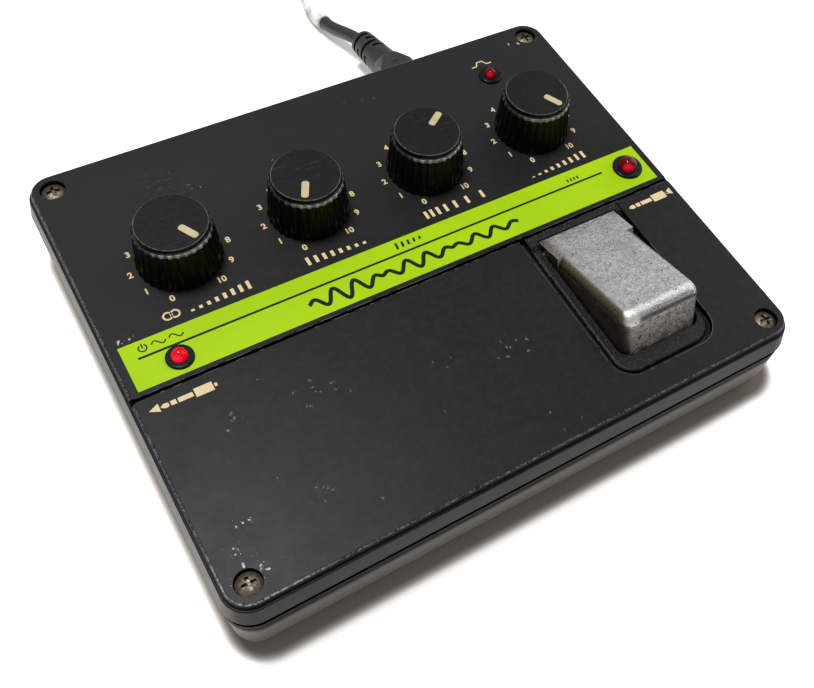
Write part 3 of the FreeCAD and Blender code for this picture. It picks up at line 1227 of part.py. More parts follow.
def build_inlet():
    """A two-pin mains inlet set into the rear wall."""
    mouth = "case_depth / 2 - inlet_front"
    block = box("inlet_block", "inlet_width - 0.2", "inlet_depth", "inlet_height - 0.2", "inlet_x",
                f"{mouth} - inlet_depth / 2", "inlet_z - inlet_height / 2 + 0.1")
    soft = rounded("inlet_soft", block, 1.9, lambda edge, at: edge_runs(edge, "y"))
    socket = box("inlet_socket", "socket_width", "socket_depth + 1", "socket_height", "inlet_x",
                 f"{mouth} - (socket_depth - 1) / 2", "inlet_z - socket_height / 2")
    pins, pin_holes = [], []
    for side in (-1, 1):
        x = f"inlet_x + {side} * contact_offset"
        rear = f"{mouth} - inlet_depth"
        pins.append(rod(f"inlet_pin_{side + 2}", "contact_radius", "10.3", x, rear, "inlet_z", ALONG_Y))
        pin_holes.append(rod(f"pin_hole_{side + 2}", "contact_radius", "5", x, rear, "inlet_z", ALONG_Y))
    node("power_inlet", cut("power_inlet_cut", soft, socket, *pin_holes))
    node("inlet_pins", group("inlet_pin_set", *pins))


build_upper_case()
build_lower_case()
build_fasteners()
build_treadle()
build_treadle_mount()
build_foot_switch()
build_spring()
build_dials()
build_lamps()
build_electronics()
build_jacks()
build_inlet()
build_cord()
doc.recompute()

failed = [feature.Name for feature in doc.Objects if {"Invalid", "Error"} & set(feature.State)]
for name, feature in NODES.items():
    shape = feature.Shape
    if shape.isNull() or not shape.isValid() or not shape.Solids:
        failed.append(name)
if failed:
    raise RuntimeError("not built: " + ", ".join(failed))

os.makedirs("parts", exist_ok=True)
for name, feature in NODES.items():
    shape = feature.Shape
    bounds = shape.BoundBox
    low = [round(value, 1) for value in (bounds.XMin, bounds.YMin, bounds.ZMin)]
    high = [round(value, 1) for value in (bounds.XMax, bounds.YMax, bounds.ZMax)]
    print(name, "solids", len(shape.Solids), "volume", round(shape.Volume, 1), low, high)
    shape.exportStep(f"parts/{name}.step")
print(len(NODES), "nodes")
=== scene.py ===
"""Looks of a floor-standing delay pedal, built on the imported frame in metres."""
import json
import math
import random

import bmesh
import bpy
from mathutils import Matrix, Vector
from mathutils.bvhtree import BVHTree


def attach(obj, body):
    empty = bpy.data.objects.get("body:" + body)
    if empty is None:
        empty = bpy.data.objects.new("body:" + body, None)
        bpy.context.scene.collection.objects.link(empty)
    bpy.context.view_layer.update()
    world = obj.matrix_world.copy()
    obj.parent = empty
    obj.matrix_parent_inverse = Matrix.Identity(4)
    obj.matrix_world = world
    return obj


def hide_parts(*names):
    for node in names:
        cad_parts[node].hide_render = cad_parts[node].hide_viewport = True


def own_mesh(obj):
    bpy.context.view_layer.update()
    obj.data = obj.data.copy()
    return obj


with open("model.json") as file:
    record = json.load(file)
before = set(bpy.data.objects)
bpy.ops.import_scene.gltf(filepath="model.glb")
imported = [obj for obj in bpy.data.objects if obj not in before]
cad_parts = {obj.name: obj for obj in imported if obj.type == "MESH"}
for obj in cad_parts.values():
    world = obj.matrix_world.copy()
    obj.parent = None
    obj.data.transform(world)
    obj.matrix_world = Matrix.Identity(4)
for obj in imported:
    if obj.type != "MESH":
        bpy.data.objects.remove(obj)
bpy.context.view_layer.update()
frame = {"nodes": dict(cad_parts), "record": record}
nodes = frame["nodes"]

MM = 0.001
PLATE_Z = 32.0


def metres(*lengths):
    """Lengths in millimetres as a tuple of metres."""
    return tuple(length * MM for length in lengths)


def link(piece):
    bpy.context.scene.collection.objects.link(piece)
    return piece


# Camera, lights and floor: places in metres, lens and sensor in millimetres

CAMERA_PLACE = Vector((-0.10113, -0.168018, 0.284948))
CAMERA_RIGHT = Vector((0.835057, -0.534571, 0.130054))
CAMERA_UP = Vector((0.387636, 0.739439, 0.550425))
CAMERA_LENS = 45.22
CAMERA_SENSOR = 36.0
CAMERA_SHIFT = (-0.1605, -0.01355)
NEAREST_SEEN = 0.01
SKY_COLOR = (1.0, 0.99, 0.975)
SKY_STRENGTH = 0.5
OVERHEAD_WAY, OVERHEAD_SIZE, OVERHEAD_POWER = (-0.1, 0.22, 0.97), 0.3, 18
RIGHT_WAY, RIGHT_SIZE, RIGHT_POWER = (0.82, 0.1, 0.57), 1.0, 7.5
LIGHT_DISTANCE = 1.3
FLOOR_REACH = 6.0


def turned(right, up, place):
    """The matrix of something that looks along minus the cross product of right and up."""
    back = right.cross(up)
    axes = Matrix((right, up, back)).transposed().to_4x4()
    return Matrix.Translation(place) @ axes


def make_camera():
    camera = bpy.data.cameras.new("camera")
    camera.sensor_width = CAMERA_SENSOR
    camera.lens = CAMERA_LENS
    camera.shift_x, camera.shift_y = CAMERA_SHIFT
    camera.clip_start = NEAREST_SEEN
    piece = link(bpy.data.objects.new("camera", camera))
    piece.matrix_world = turned(CAMERA_RIGHT, CAMERA_UP, CAMERA_PLACE)
    bpy.context.scene.camera = piece


def make_light(name, direction, size, power):
    """A square soft light that looks at the object from a direction."""
    light = bpy.data.lights.new(name, "AREA")
    light.size = size
    light.energy = power
    piece = link(bpy.data.objects.new(name, light))
    way = Vector(direction).normalized()
    piece.location = way * LIGHT_DISTANCE
    piece.rotation_euler = way.to_track_quat("Z", "Y").to_euler()


def make_sky():
    world = bpy.data.worlds.new("studio")
    bpy.context.scene.world = world
    world.use_nodes = True
    sky = world.node_tree.nodes["Background"]
    sky.inputs["Color"].default_value = (*SKY_COLOR, 1)
    sky.inputs["Strength"].default_value = SKY_STRENGTH


def make_stage():
    bpy.context.scene.view_settings.view_transform = "Standard"
    make_sky()
    make_light("overhead_light", OVERHEAD_WAY, OVERHEAD_SIZE, OVERHEAD_POWER)
    make_light("right_light", RIGHT_WAY, RIGHT_SIZE, RIGHT_POWER)
    mesh = bpy.data.meshes.new("floor")
    corners = [(x * FLOOR_REACH, y * FLOOR_REACH, 0) for x, y in ((-1, -1), (1, -1), (1, 1), (-1, 1))]
    mesh.from_pydata(corners, [], [(0, 1, 2, 3)])
    floor = link(bpy.data.objects.new("floor", mesh))
    floor.data.materials.append(floor_white("floor_white"))


# Materials: colours are linear red, green and blue

MIX_SHARE, MIX_FIRST, MIX_SECOND, MIX_RESULT = 0, 6, 7, 2
UPWARD, FORWARD, LEFTWARD = (0, 0, 1), (0, -1, 0), (-1, 0, 0)


class Finish:
    """A procedural material: one Principled shader and the nodes that feed it."""

    def __init__(self, name, color, roughness, **inputs):
        self.material = bpy.data.materials.new(name)
        self.material.use_nodes = True
        self.tree = self.material.node_tree
        self.shader = self.tree.nodes["Principled BSDF"]
        self.set("Base Color", (*color, 1))
        self.set("Roughness", roughness)
        for key, value in inputs.items():
            self.set(key.replace("_", " "), value)

    def set(self, socket, value):
        self.shader.inputs[socket].default_value = value

    def feed(self, socket, output):
        self.tree.links.new(output, self.shader.inputs[socket])

    def node(self, kind, inputs=(), **settings):
        made = self.tree.nodes.new(kind)
        for key, value in settings.items():
            setattr(made, key, value)
        for key, value in dict(inputs).items():
            if isinstance(value, bpy.types.NodeSocket):
                self.tree.links.new(value, made.inputs[key])
            else:
                made.inputs[key].default_value = value
        return made

    def calculate(self, operation, first, second=0.0):
        return self.node("ShaderNodeMath", {0: first, 1: second}, operation=operation).outputs[0]

    def times(self, *factors):
        """The product of two or more numbers."""
        product = factors[0]
        for factor in factors[1:]:
            product = self.calculate("MULTIPLY", product, factor)
        return product

    def larger(self, first, second):
        return self.calculate("MAXIMUM", first, second)

    def opposite(self, share):
        """1 where a share is 0, and 0 where it is 1."""
        return self.calculate("SUBTRACT", 1.0, share)

    def vector(self, operation, *inputs, output="Vector"):
        made = self.node("ShaderNodeVectorMath", dict(enumerate(inputs)), operation=operation)
        return made.outputs[output]

    def place(self):
        return self.node("ShaderNodeTexCoord").outputs["Object"]

    def along(self, axis):
        """The place along X, Y or Z, in metres; Z is the height above the floor."""
        return self.node("ShaderNodeSeparateXYZ", {"Vector": self.place()}).outputs[axis]

    def noise(self, size, detail=3.0, rough=0.5, stretch=(1, 1, 1), shift=0.0):
        """Noise whose features are about size millimetres across."""
        where = self.node("ShaderNodeMapping", {"Vector": self.place(), "Scale": stretch,
                                                "Location": (shift, shift, shift)})
        settings = {"Vector": where.outputs["Vector"], "Scale": 1 / (size * MM), "Detail": detail,
                    "Roughness": rough}
        return self.node("ShaderNodeTexNoise", settings).outputs[0]

    def span(self, value, low, high, start=0.0, end=1.0):
        """A smooth step of a value from start at low to end at high."""
        settings = {"Value": value, "From Min": low, "From Max": high, "To Min": start, "To Max": end}
        return self.node("ShaderNodeMapRange", settings, interpolation_type="SMOOTHSTEP").outputs[0]

    def blend(self, share, start, end):
        """A number that passes from start to end as a share grows from 0 to 1."""
        return self.span(share, 0.0, 1.0, start, end)

    def patches(self, size, low, high, start=0.0, end=1.0, **texture):
        """Noise that passes from start at low to end at high."""
        return self.span(self.noise(size, **texture), low, high, start, end)

    def between(self, value, low, rise, fall, high):
        """1 from rise to fall, passing to 0 at low and high."""
        return self.times(self.span(value, low, rise), self.span(value, high, fall))

    def level(self, *heights):
        """1 between the middle two of four heights in millimetres, passing to 0 at the outer two."""
        return self.between(self.along("Z"), *metres(*heights))

    def mix(self, share, first, second):
        """One colour passing into another."""
        inputs = {MIX_SHARE: share}
        for key, color in ((MIX_FIRST, first), (MIX_SECOND, second)):
            inputs[key] = color if isinstance(color, bpy.types.NodeSocket) else (*color, 1)
        return self.node("ShaderNodeMix", inputs, data_type="RGBA").outputs[MIX_RESULT]

    def relief(self, height, depth, under=None):
        """Bumps from a height between 0 and 1, depth millimetres high."""
        settings = {"Height": height, "Distance": depth * MM}
        if under is not None:
            settings["Normal"] = under
        return self.node("ShaderNodeBump", settings).outputs["Normal"]

    def facing(self, direction):
        """How far the surface looks in a direction, from -1 to 1."""
        normal = self.node("ShaderNodeNewGeometry").outputs["Normal"]
        return self.vector("DOT_PRODUCT", normal, direction, output="Value")

    def slant(self):
        """How far the surface faces up or down, from 0 on a wall to 1 on a level face."""
        return self.calculate("ABSOLUTE", self.facing(UPWARD))

    def near(self, place, full, none):
        """1 within a distance of a place, in millimetres, passing to 0 at another."""
        away = self.vector("DISTANCE", self.place(), metres(*place), output="Value")
        return self.span(away, *metres(none, full))


# Floor, in millimetres: the case's rounded outline on it, and distances outward from that outline

CASE_HALF_WIDTH, CASE_HALF_DEPTH = 94.5, 79.6
CONTACT_CENTRE = (1.0, -1.0)
CONTACT_CORNER = 10.0
SHADOW_FULL, SHADOW_END = -0.5, 4.0
GLOW_BELT = (0.5, 4.5, 12.0, 22.0)
GLOW_LEAST, GLOW_MOST = 0.03, 0.45
PAPER_WHITE = (0.93, 0.915, 0.9)
PAPER_GLOW = (1.0, 0.98, 0.96)
SHADOW_BROWN = (0.13, 0.095, 0.07)


def outside_contact(paper):
    """Distance from the rectangle between the centres of the outline's round corners, in metres."""
    centred = paper.vector("SUBTRACT", paper.place(), metres(*CONTACT_CENTRE, 0))
    half = metres(CASE_HALF_WIDTH - CONTACT_CORNER, CASE_HALF_DEPTH - CONTACT_CORNER, 0)
    past = paper.vector("SUBTRACT", paper.vector("ABSOLUTE", centred), half)
    return paper.vector("LENGTH", paper.vector("MAXIMUM", past, (0, 0, 0)), output="Value")


def floor_white(name):
    """White paper with a painted brown contact shadow where the case covers it, and a painted glow in a
    belt round that, which whitens the shade there.
    """
    paper = Finish(name, PAPER_WHITE, 0.75)
    paper.set("Emission Color", (*PAPER_GLOW, 1))
    away = outside_contact(paper)
    # painted shadow: the paper turns brown and dark close round the case's outline
    dark = paper.span(away, *metres(CONTACT_CORNER + SHADOW_END, CONTACT_CORNER + SHADOW_FULL))
    # painted light: a belt of glow round the case lifts the shade on the paper
    belt = paper.between(away, *metres(*(CONTACT_CORNER + edge for edge in GLOW_BELT)))
    paper.feed("Emission Strength", paper.blend(belt, GLOW_LEAST, GLOW_MOST))
    paper.feed("Base Color", paper.mix(dark, PAPER_WHITE, SHADOW_BROWN))
    return paper.material


# Case paint, in millimetres: a band's four heights are where it starts, is full, starts to fade and ends

RIM_BAND = (30.6, 31.0, 31.9, 32.1)
STEP_BAND = (29.7, 29.9, 30.9, 31.3)
HIGH_WALL_BAND = (23.5, 24.5, 28.5, 29.5)
SEAM_BAND = (15.8, 17.6, 23.2, 23.6)
LOW_WALL_BAND = (2.5, 6.0, 14.0, 17.2)
LEFT_SHEEN_AND_DUST_END, LEFT_SHEEN_AND_DUST_FULL = 29.7, 29.3
PALER_FROM_Y, PALER_UNTIL_Y = -10.0, 55.0
SCUFFED_PLACE = (-55, 61, 32)
BARE_AND_HIGHLIGHT_CORNER = (-85, -75, 32)
PAINT_FRONT, PAINT_FRONT_WORN = (0.003, 0.003, 0.0032), (0.0042, 0.0041, 0.004)
PAINT_REAR = (0.0105, 0.0102, 0.0103)
PAINT_MOTTLE = (0.011, 0.0108, 0.0105)
PLATE_DUST = (0.07, 0.068, 0.065)
PLATE_SCUFF = (0.06, 0.06, 0.06)
RIM_WEAR_AND_HIGHLIGHT, RIM_BARE_AND_HIGHLIGHT = (0.15, 0.147, 0.142), (0.26, 0.255, 0.245)
LOW_SHEEN_AND_DUST, HIGH_SHEEN_AND_DUST = (0.12, 0.116, 0.109), (0.024, 0.0235, 0.023)
LEFT_SHEEN_AND_DUST = (0.105, 0.102, 0.094)
PAINTED_SHADE_BLACK = (0.0012, 0.0012, 0.0012)
PAINT_RELIEF = 0.012


def paint_skin(paint):
    """Black that is paler at the back, mottled and dusty, with a scuffed place behind the left dial."""
    tint = paint.patches(60, 0.3, 0.7, detail=2)
    front = paint.mix(tint, PAINT_FRONT, PAINT_FRONT_WORN)
    paler = paint.span(paint.along("Y"), *metres(PALER_FROM_Y, PALER_UNTIL_Y))
    even = paint.mix(paler, front, PAINT_REAR)
    mottle = paint.patches(2.2, 0.4, 0.7, end=0.5, detail=6, rough=0.75, shift=0.4)
    mottled = paint.mix(mottle, even, PAINT_MOTTLE)
    dust = paint.patches(0.8, 0.67, 0.8, end=0.3, detail=4, rough=0.7, shift=0.3)
    dusty = paint.mix(dust, mottled, PLATE_DUST)
    streaks = paint.patches(1.6, 0.56, 0.72, end=0.6, detail=4, rough=0.75,
                            stretch=(0.3, 2.2, 1), shift=0.5)
    scuffed = paint.near(SCUFFED_PLACE, full=3, none=13)
    return paint.mix(paint.times(scuffed, streaks), dusty, PLATE_SCUFF)


def rubbed_rim(paint, under):
    """The top plate's rounded rim, greyed all round and paler at the front left corner: partly rubbed
    paint, partly a painted highlight.
    """
    edge = paint.between(paint.slant(), 0.45, 0.7, 0.9, 0.99)
    rim = paint.times(edge, paint.level(*RIM_BAND))
    fine_rub_and_highlight = paint.patches(0.7, 0.44, 0.6, end=0.8, detail=6, rough=0.8, shift=0.7)
    # painted highlight with wear: the rounded rim is greyed, and paler still at the front left corner
    greyed = paint.mix(paint.times(rim, fine_rub_and_highlight), under, RIM_WEAR_AND_HIGHLIGHT)
    coarse_rub_and_highlight = paint.patches(1.2, 0.42, 0.58, detail=6, rough=0.75, shift=0.2)
    corner = paint.near(BARE_AND_HIGHLIGHT_CORNER, full=5, none=24)
    return paint.mix(paint.times(rim, coarse_rub_and_highlight, corner), greyed, RIM_BARE_AND_HIGHLIGHT)


def dusty_walls(paint, under):
    """Painted sheen of reflected light with patchy dust: most on the lower wall in front, a little on the
    upper wall, and more on the left.
    """
    wall = paint.opposite(paint.span(paint.slant(), 0.05, 0.3))
    film = paint.patches(3, 0.3, 0.7, start=0.7, detail=5, rough=0.75, stretch=(1, 1, 3), shift=0.8)
    frontal = paint.span(paint.facing(FORWARD), 0.3, 0.8, 0.3, 1.0)
    # painted sheen with dust: walls facing the front and the left are lightened in patches
    low = paint.times(paint.level(*LOW_WALL_BAND), wall, film, frontal)
    high = paint.times(paint.level(*HIGH_WALL_BAND), wall, film)
    walls = paint.mix(high, paint.mix(low, under, LOW_SHEEN_AND_DUST), HIGH_SHEEN_AND_DUST)
    leftward = paint.span(paint.facing(LEFTWARD), 0.7, 0.95)
    below_step = paint.span(paint.along("Z"), *metres(LEFT_SHEEN_AND_DUST_END, LEFT_SHEEN_AND_DUST_FULL))
    return paint.mix(paint.times(leftward, below_step, film), walls, LEFT_SHEEN_AND_DUST)


def case_paint(name):
    """Satin black paint on a casting: dusty and rubbed, with painted sheen on the walls and a painted
    highlight on the rim, and painted shade, black and unreflecting, in the seam and below the plate.
    """
    paint = Finish(name, (0.005, 0.005, 0.0052), 0.42, Specular_IOR_Level=0.115)
    # dust and wear, together with the walls' painted sheen and the rim's painted highlight
    worn = dusty_walls(paint, rubbed_rim(paint, paint_skin(paint)))
    # painted shade: the seam and the step below the plate are made black and kept from reflecting
    painted_shade = paint.larger(paint.level(*SEAM_BAND), paint.level(*STEP_BAND))
    paint.feed("Base Color", paint.mix(painted_shade, worn, PAINTED_SHADE_BLACK))
    paint.feed("Metallic", painted_shade)
    gloss = paint.patches(9, 0.3, 0.75, 0.4, 0.45, detail=4, rough=0.6, shift=0.1)
    paint.feed("Roughness", paint.blend(painted_shade, gloss, 0.7))
    grain = paint.relief(paint.noise(0.5, detail=2, rough=0.6), PAINT_RELIEF)
    sag = paint.relief(paint.noise(7, detail=2), PAINT_RELIEF, under=grain)
    paint.feed("Normal", paint.relief(paint.noise(1.8, rough=0.6, shift=0.6), PAINT_RELIEF, under=sag))
    return paint.material


# Treadle casting, with places in millimetres

CAST_DARK, CAST_BRIGHT = (0.27, 0.27, 0.275), (0.56, 0.56, 0.56)
CAST_STAIN, CAST_GRAIN = (0.25, 0.245, 0.235), (0.11, 0.1, 0.085)
CAST_TAN, CAST_LEFT_SHADE = (0.13, 0.1, 0.05), (0.1, 0.088, 0.066)
CAST_FRONT_DARK, CAST_FRONT_PALE = (0.25, 0.246, 0.237), (0.41, 0.404, 0.392)
CAST_BEND_SHADE, CAST_FOOT_BROWN = (0.04, 0.036, 0.031), (0.07, 0.045, 0.022)
CAST_POLISH_HIGHLIGHT, CAST_PIT = (0.75, 0.75, 0.74), (0.03, 0.028, 0.026)
LEFT_RIM_END_X, LEFT_RIM_FULL_X = 42.5, 39.0
FOOT_BROWN_END_Z, FOOT_BROWN_FULL_Z = 33.5, 29.5
POLISHED_HIGHLIGHT_CORNER = (41, -58, 43.5)


def casting_top(metal, sand):
    """Grey skin with stains, and dark grain along the left rim."""
    bare = metal.mix(metal.span(sand, 0.3, 0.7), CAST_DARK, CAST_BRIGHT)
    stained = metal.mix(metal.patches(11, 0.42, 0.68, end=0.35, detail=4, rough=0.62), bare, CAST_STAIN)
    left_rim = metal.span(metal.along("X"), *metres(LEFT_RIM_END_X, LEFT_RIM_FULL_X))
    return metal.mix(metal.times(left_rim, metal.span(sand, 0.4, 0.55)), stained, CAST_GRAIN)


def grimy_left(metal, edges, under):
    """Tan on the left edge and a darker left side: painted reflection and shade, since that side faces the
    black plate.
    """
    leftward = metal.facing(LEFTWARD)
    left_edge = metal.times(edges, metal.span(leftward, 0.3, 0.6, end=0.9))
    # painted reflection and shade: left-facing edges turn tan, and left-facing sides turn dark
    tanned = metal.mix(left_edge, under, CAST_TAN)
    return metal.mix(metal.span(leftward, 0.45, 0.9, end=0.85), tanned, CAST_LEFT_SHADE)


def dull_front(metal, coarse, forward, front, under):
    """A mottled front below a bend darkened as painted shade, and browner in patches towards the foot."""
    mottled = metal.mix(metal.span(coarse, 0.35, 0.65), CAST_FRONT_DARK, CAST_FRONT_PALE)
    grey = metal.mix(front, under, mottled)
    sloping = metal.span(metal.slant(), 0.3, 0.4, end=0.85)
    # painted shade: the bend below the front's top edge is darkened
    bend = metal.times(metal.between(forward, 0.66, 0.78, 0.9, 0.95), sloping)
    shaded = metal.mix(bend, grey, CAST_BEND_SHADE)
    # browner in patches towards the foot of the front
    foot = metal.span(metal.along("Z"), *metres(FOOT_BROWN_END_Z, FOOT_BROWN_FULL_Z))
    foot_brown = metal.times(foot, metal.patches(3, 0.36, 0.6, end=0.9, detail=4, rough=0.7, shift=0.2))
    return metal.mix(foot_brown, shaded, CAST_FOOT_BROWN)


def cast_metal(name):
    """Bare sand-textured casting: polished edges, a pale corner that is partly a painted highlight, a dull
    pitted front, and painted shade down the left side.
    """
    metal = Finish(name, (0.3, 0.3, 0.3), 0.42)
    sand = metal.noise(0.5, detail=4, rough=0.65)
    coarse = metal.noise(1.5, rough=0.6, shift=0.4)
    forward = metal.facing(FORWARD)
    front = metal.span(forward, 0.82, 0.955)
    edges = metal.between(metal.slant(), 0.25, 0.45, 0.86, 0.945)
    aged_and_shaded = dull_front(metal, coarse, forward, front, grimy_left(metal, edges, casting_top(metal, sand)))
    speckle = metal.noise(0.9, detail=2, rough=0.6, shift=0.8)
    pits = metal.span(metal.calculate("ADD", speckle, metal.times(front, 0.07)), 0.66, 0.71)
    # painted highlight with real polish: the front left corner is made pale and glossy
    rubbed_highlight_corner = metal.near(POLISHED_HIGHLIGHT_CORNER, full=2.0, none=4.2)
    polished = metal.mix(rubbed_highlight_corner, aged_and_shaded, CAST_POLISH_HIGHLIGHT)
    metal.feed("Base Color", metal.mix(pits, polished, CAST_PIT))
    metal.feed("Metallic", metal.blend(front, 1.0, 0.3))
    level_gloss = metal.span(coarse, 0.25, 0.75, 0.38, 0.55)
    edge_gloss = metal.span(sand, 0.3, 0.7, 0.18, 0.42)
    worn = metal.blend(edges, level_gloss, edge_gloss)
    metal.feed("Roughness", metal.blend(rubbed_highlight_corner, worn, 0.3))
    skin = metal.relief(coarse, 0.09, under=metal.relief(sand, 0.07))
    metal.feed("Normal", metal.relief(metal.opposite(pits), 0.16, under=skin))
    return metal.material


# Bezel, dials, screws, lamps, inks and iron sheets, with places in millimetres

COARSE_BLACK, COARSE_SPECK_AND_HIGHLIGHT = (0.003, 0.003, 0.003), (0.085, 0.083, 0.08)
DISC_FROM_Z, DISC_FULL_Z = 48.4, 48.6
SHOULDER_BAND = (45.7, 46.1, 46.9, 47.1)
LIP_BAND = (48.35, 48.45, 48.62, 48.68)
FRONT_HIGHLIGHT_FROM_Y, FRONT_HIGHLIGHT_FULL_Y = 25.5, 20.3
DIAL_SIDE, DIAL_DISC = (0.0022, 0.0022, 0.0022), (0.005, 0.005, 0.0052)
DIAL_SCRATCH, DIAL_WEAR_HIGHLIGHT = (0.04, 0.04, 0.042), (0.24, 0.235, 0.23)
TARNISH_PALE, TARNISH_BROWN = (0.15, 0.13, 0.098), (0.04, 0.031, 0.021)
LAMP_FAR_SIDE = (-0.55, -0.76, 0.35)
LAMP_GLOW, LIT_STRENGTH = (1.0, 0.0, 0.012), 0.5
LIT_RED, LIT_CRESCENT = (0.2, 0.0, 0.002), (0.75, 0.02, 0.08)
DARK_RED, DARK_CRESCENT = (0.085, 0.0008, 0.002), (0.62, 0.006, 0.025)
BAND_GREEN, BAND_GREEN_PALE = (0.215, 0.36, 0.0008), (0.245, 0.395, 0.0015)
BAND_GREEN_WORN = (0.12, 0.2, 0.008)
BLACK_INK, BLACK_INK_WORN = (0.005, 0.006, 0.003), (0.03, 0.045, 0.004)
CREAM_INK, CREAM_INK_WORN = (0.46, 0.37, 0.215), (0.16, 0.13, 0.07)
SHEETS_SCALE = 900.0
GRAINS_PER_CLOUD = 7
GLOSSY_SHARE, DULL_SHARE = 0.85, 1.2


def coarse_paint(name):
    """Thick grainy black paint on the treadle's bezel, with light specks, and rims lightened partly by
    wear and partly as a painted highlight.
    """
    paint = Finish(name, (0.005, 0.005, 0.005), 0.4, Specular_IOR_Level=0.14)
    specks = paint.patches(0.5, 0.6, 0.69, detail=2, rough=0.7, shift=0.5)
    rims = paint.between(paint.slant(), 0.3, 0.5, 0.8, 0.95)
    # painted highlight with wear: the rounded rims are lightened in patches
    rub = paint.times(rims, paint.patches(1.1, 0.54, 0.7, detail=5, rough=0.75))
    light = paint.times(paint.larger(specks, rub), 0.8)
    paint.feed("Base Color", paint.mix(light, COARSE_BLACK, COARSE_SPECK_AND_HIGHLIGHT))
    paint.feed("Normal", paint.relief(paint.noise(0.9, detail=4, rough=0.65), 0.14))
    return paint.material


def dial_wear(plastic):
    """How far a dial's shoulder and lip are made bright, by wear and by a painted highlight; the shoulder
    most where it is in front.
    """
    # painted highlight with wear: the front of each shoulder is lightened
    front = plastic.span(plastic.along("Y"), *metres(FRONT_HIGHLIGHT_FROM_Y, FRONT_HIGHLIGHT_FULL_Y), 0.12, 1.0)
    shoulder = plastic.times(plastic.level(*SHOULDER_BAND), front)
    lip = plastic.times(plastic.level(*LIP_BAND), 0.3)
    patchy = plastic.patches(1.5, 0.36, 0.56, start=0.3, detail=4, rough=0.7, shift=0.6)
    return plastic.times(plastic.larger(shoulder, lip), patchy)


def dial_plastic(name):
    """Black sides, a shoulder made bright in front by a painted highlight with some wear, and a scratched
    disc on top.
    """
    plastic = Finish(name, (0.004, 0.004, 0.004), 0.3, Specular_IOR_Level=0.12)
    on_top = plastic.span(plastic.along("Z"), *metres(DISC_FROM_Z, DISC_FULL_Z))
    haze = plastic.patches(1.6, 0.3, 0.75, 0.3, 0.45, detail=5, rough=0.7, stretch=(1, 3, 1))
    side = plastic.patches(5, 0.3, 0.8, 0.24, 0.36)
    plastic.feed("Roughness", plastic.blend(on_top, side, haze))
    hair = plastic.patches(2.2, 0.62, 0.68, end=0.5, rough=0.8, stretch=(0.2, 2.6, 1), shift=0.2)
    plain = plastic.mix(on_top, DIAL_SIDE, DIAL_DISC)
    scratched = plastic.mix(plastic.times(hair, on_top), plain, DIAL_SCRATCH)
    plastic.feed("Base Color", plastic.mix(dial_wear(plastic), scratched, DIAL_WEAR_HIGHLIGHT))
    plastic.feed("Normal", plastic.relief(plastic.noise(0.35, detail=2), 0.004))
    return plastic.material


def plain_finish(name, color, roughness, size=1.0, depth=0.01, spread=0.25, **inputs):
    """A finish with small changes of colour, gloss and height, for a plain piece."""
    finish = Finish(name, color, roughness, **inputs)
    grain = finish.noise(size, rough=0.6)
    darker = tuple(channel * (1 - spread) for channel in color)
    lighter = tuple(min(1.0, channel * (1 + spread)) for channel in color)
    clouds = finish.patches(size * GRAINS_PER_CLOUD, 0.3, 0.7, detail=4, rough=0.6)
    finish.feed("Base Color", finish.mix(clouds, darker, lighter))
    dullest = min(1.0, roughness * DULL_SHARE)
    finish.feed("Roughness", finish.span(grain, 0.25, 0.75, roughness * GLOSSY_SHARE, dullest))
    finish.feed("Normal", finish.relief(grain, depth))
    return finish.material


def tarnished_screw(name):
    """Plating gone brown and dull in places."""
    metal = Finish(name, (0.2, 0.17, 0.13), 0.42, Metallic=0.9)
    stain = metal.noise(1.0, detail=5, rough=0.75)
    metal.feed("Base Color", metal.mix(metal.span(stain, 0.35, 0.65), TARNISH_PALE, TARNISH_BROWN))
    metal.feed("Roughness", metal.span(stain, 0.35, 0.65, 0.42, 0.65))
    metal.feed("Normal", metal.relief(metal.noise(0.4), 0.03))
    return metal.material


def lens(name, glow, color, crescent):
    """A red domed lens, brighter on the side where the light that went through it comes out."""
    plastic = Finish(name, color, 0.07, Specular_IOR_Level=0.14)
    far_side = plastic.span(plastic.facing(LAMP_FAR_SIDE), 0.68, 1.0)
    plastic.feed("Base Color", plastic.mix(far_side, color, crescent))
    plastic.set("Emission Color", (*LAMP_GLOW, 1))
    plastic.set("Emission Strength", glow)
    return plastic.material


def band_ink(name):
    """Yellow-green silk-screened ink with tiny gaps."""
    ink = Finish(name, (0.23, 0.38, 0.001), 0.42, Specular_IOR_Level=0.08)
    base = ink.mix(ink.patches(30, 0.3, 0.7), BAND_GREEN, BAND_GREEN_PALE)
    gaps = ink.patches(0.75, 0.7, 0.78, rough=0.7, shift=0.9)
    ink.feed("Base Color", ink.mix(gaps, base, BAND_GREEN_WORN))
    ink.feed("Normal", ink.relief(ink.noise(0.5, detail=2), 0.012))
    return ink.material


def printed_ink(name, color, worn):
    """Ink that has thinned a little where it was rubbed."""
    ink = Finish(name, color, 0.5, Specular_IOR_Level=0.08)
    thin = ink.patches(0.5, 0.62, 0.76, end=0.6, detail=4, rough=0.7)
    ink.feed("Base Color", ink.mix(thin, color, worn))
    return ink.material


def laminations(name):
    """Stacked iron sheets under varnish."""
    iron = Finish(name, (0.1, 0.09, 0.08), 0.5, Metallic=0.6)
    settings = {"Vector": iron.place(), "Scale": SHEETS_SCALE}
    lines = iron.node("ShaderNodeTexWave", settings, bands_direction="Y")
    iron.feed("Normal", iron.relief(lines.outputs["Fac"], 0.06))
    return iron.material


MAKERS = {
    "case_paint": case_paint,
    "cast_treadle": cast_metal,
    "bezel_paint": coarse_paint,
    "plated_screw": tarnished_screw,
    "dial_plastic": dial_plastic,
    "core_iron": laminations,
}
FINISHES = {slot_name: maker(slot_name) for slot_name, maker in MAKERS.items()}
FINISHES["lit_lens"] = lens("lit_lens", LIT_STRENGTH, LIT_RED, LIT_CRESCENT)
FINISHES["dark_lens"] = lens("dark_lens", 0.0, DARK_RED, DARK_CRESCENT)

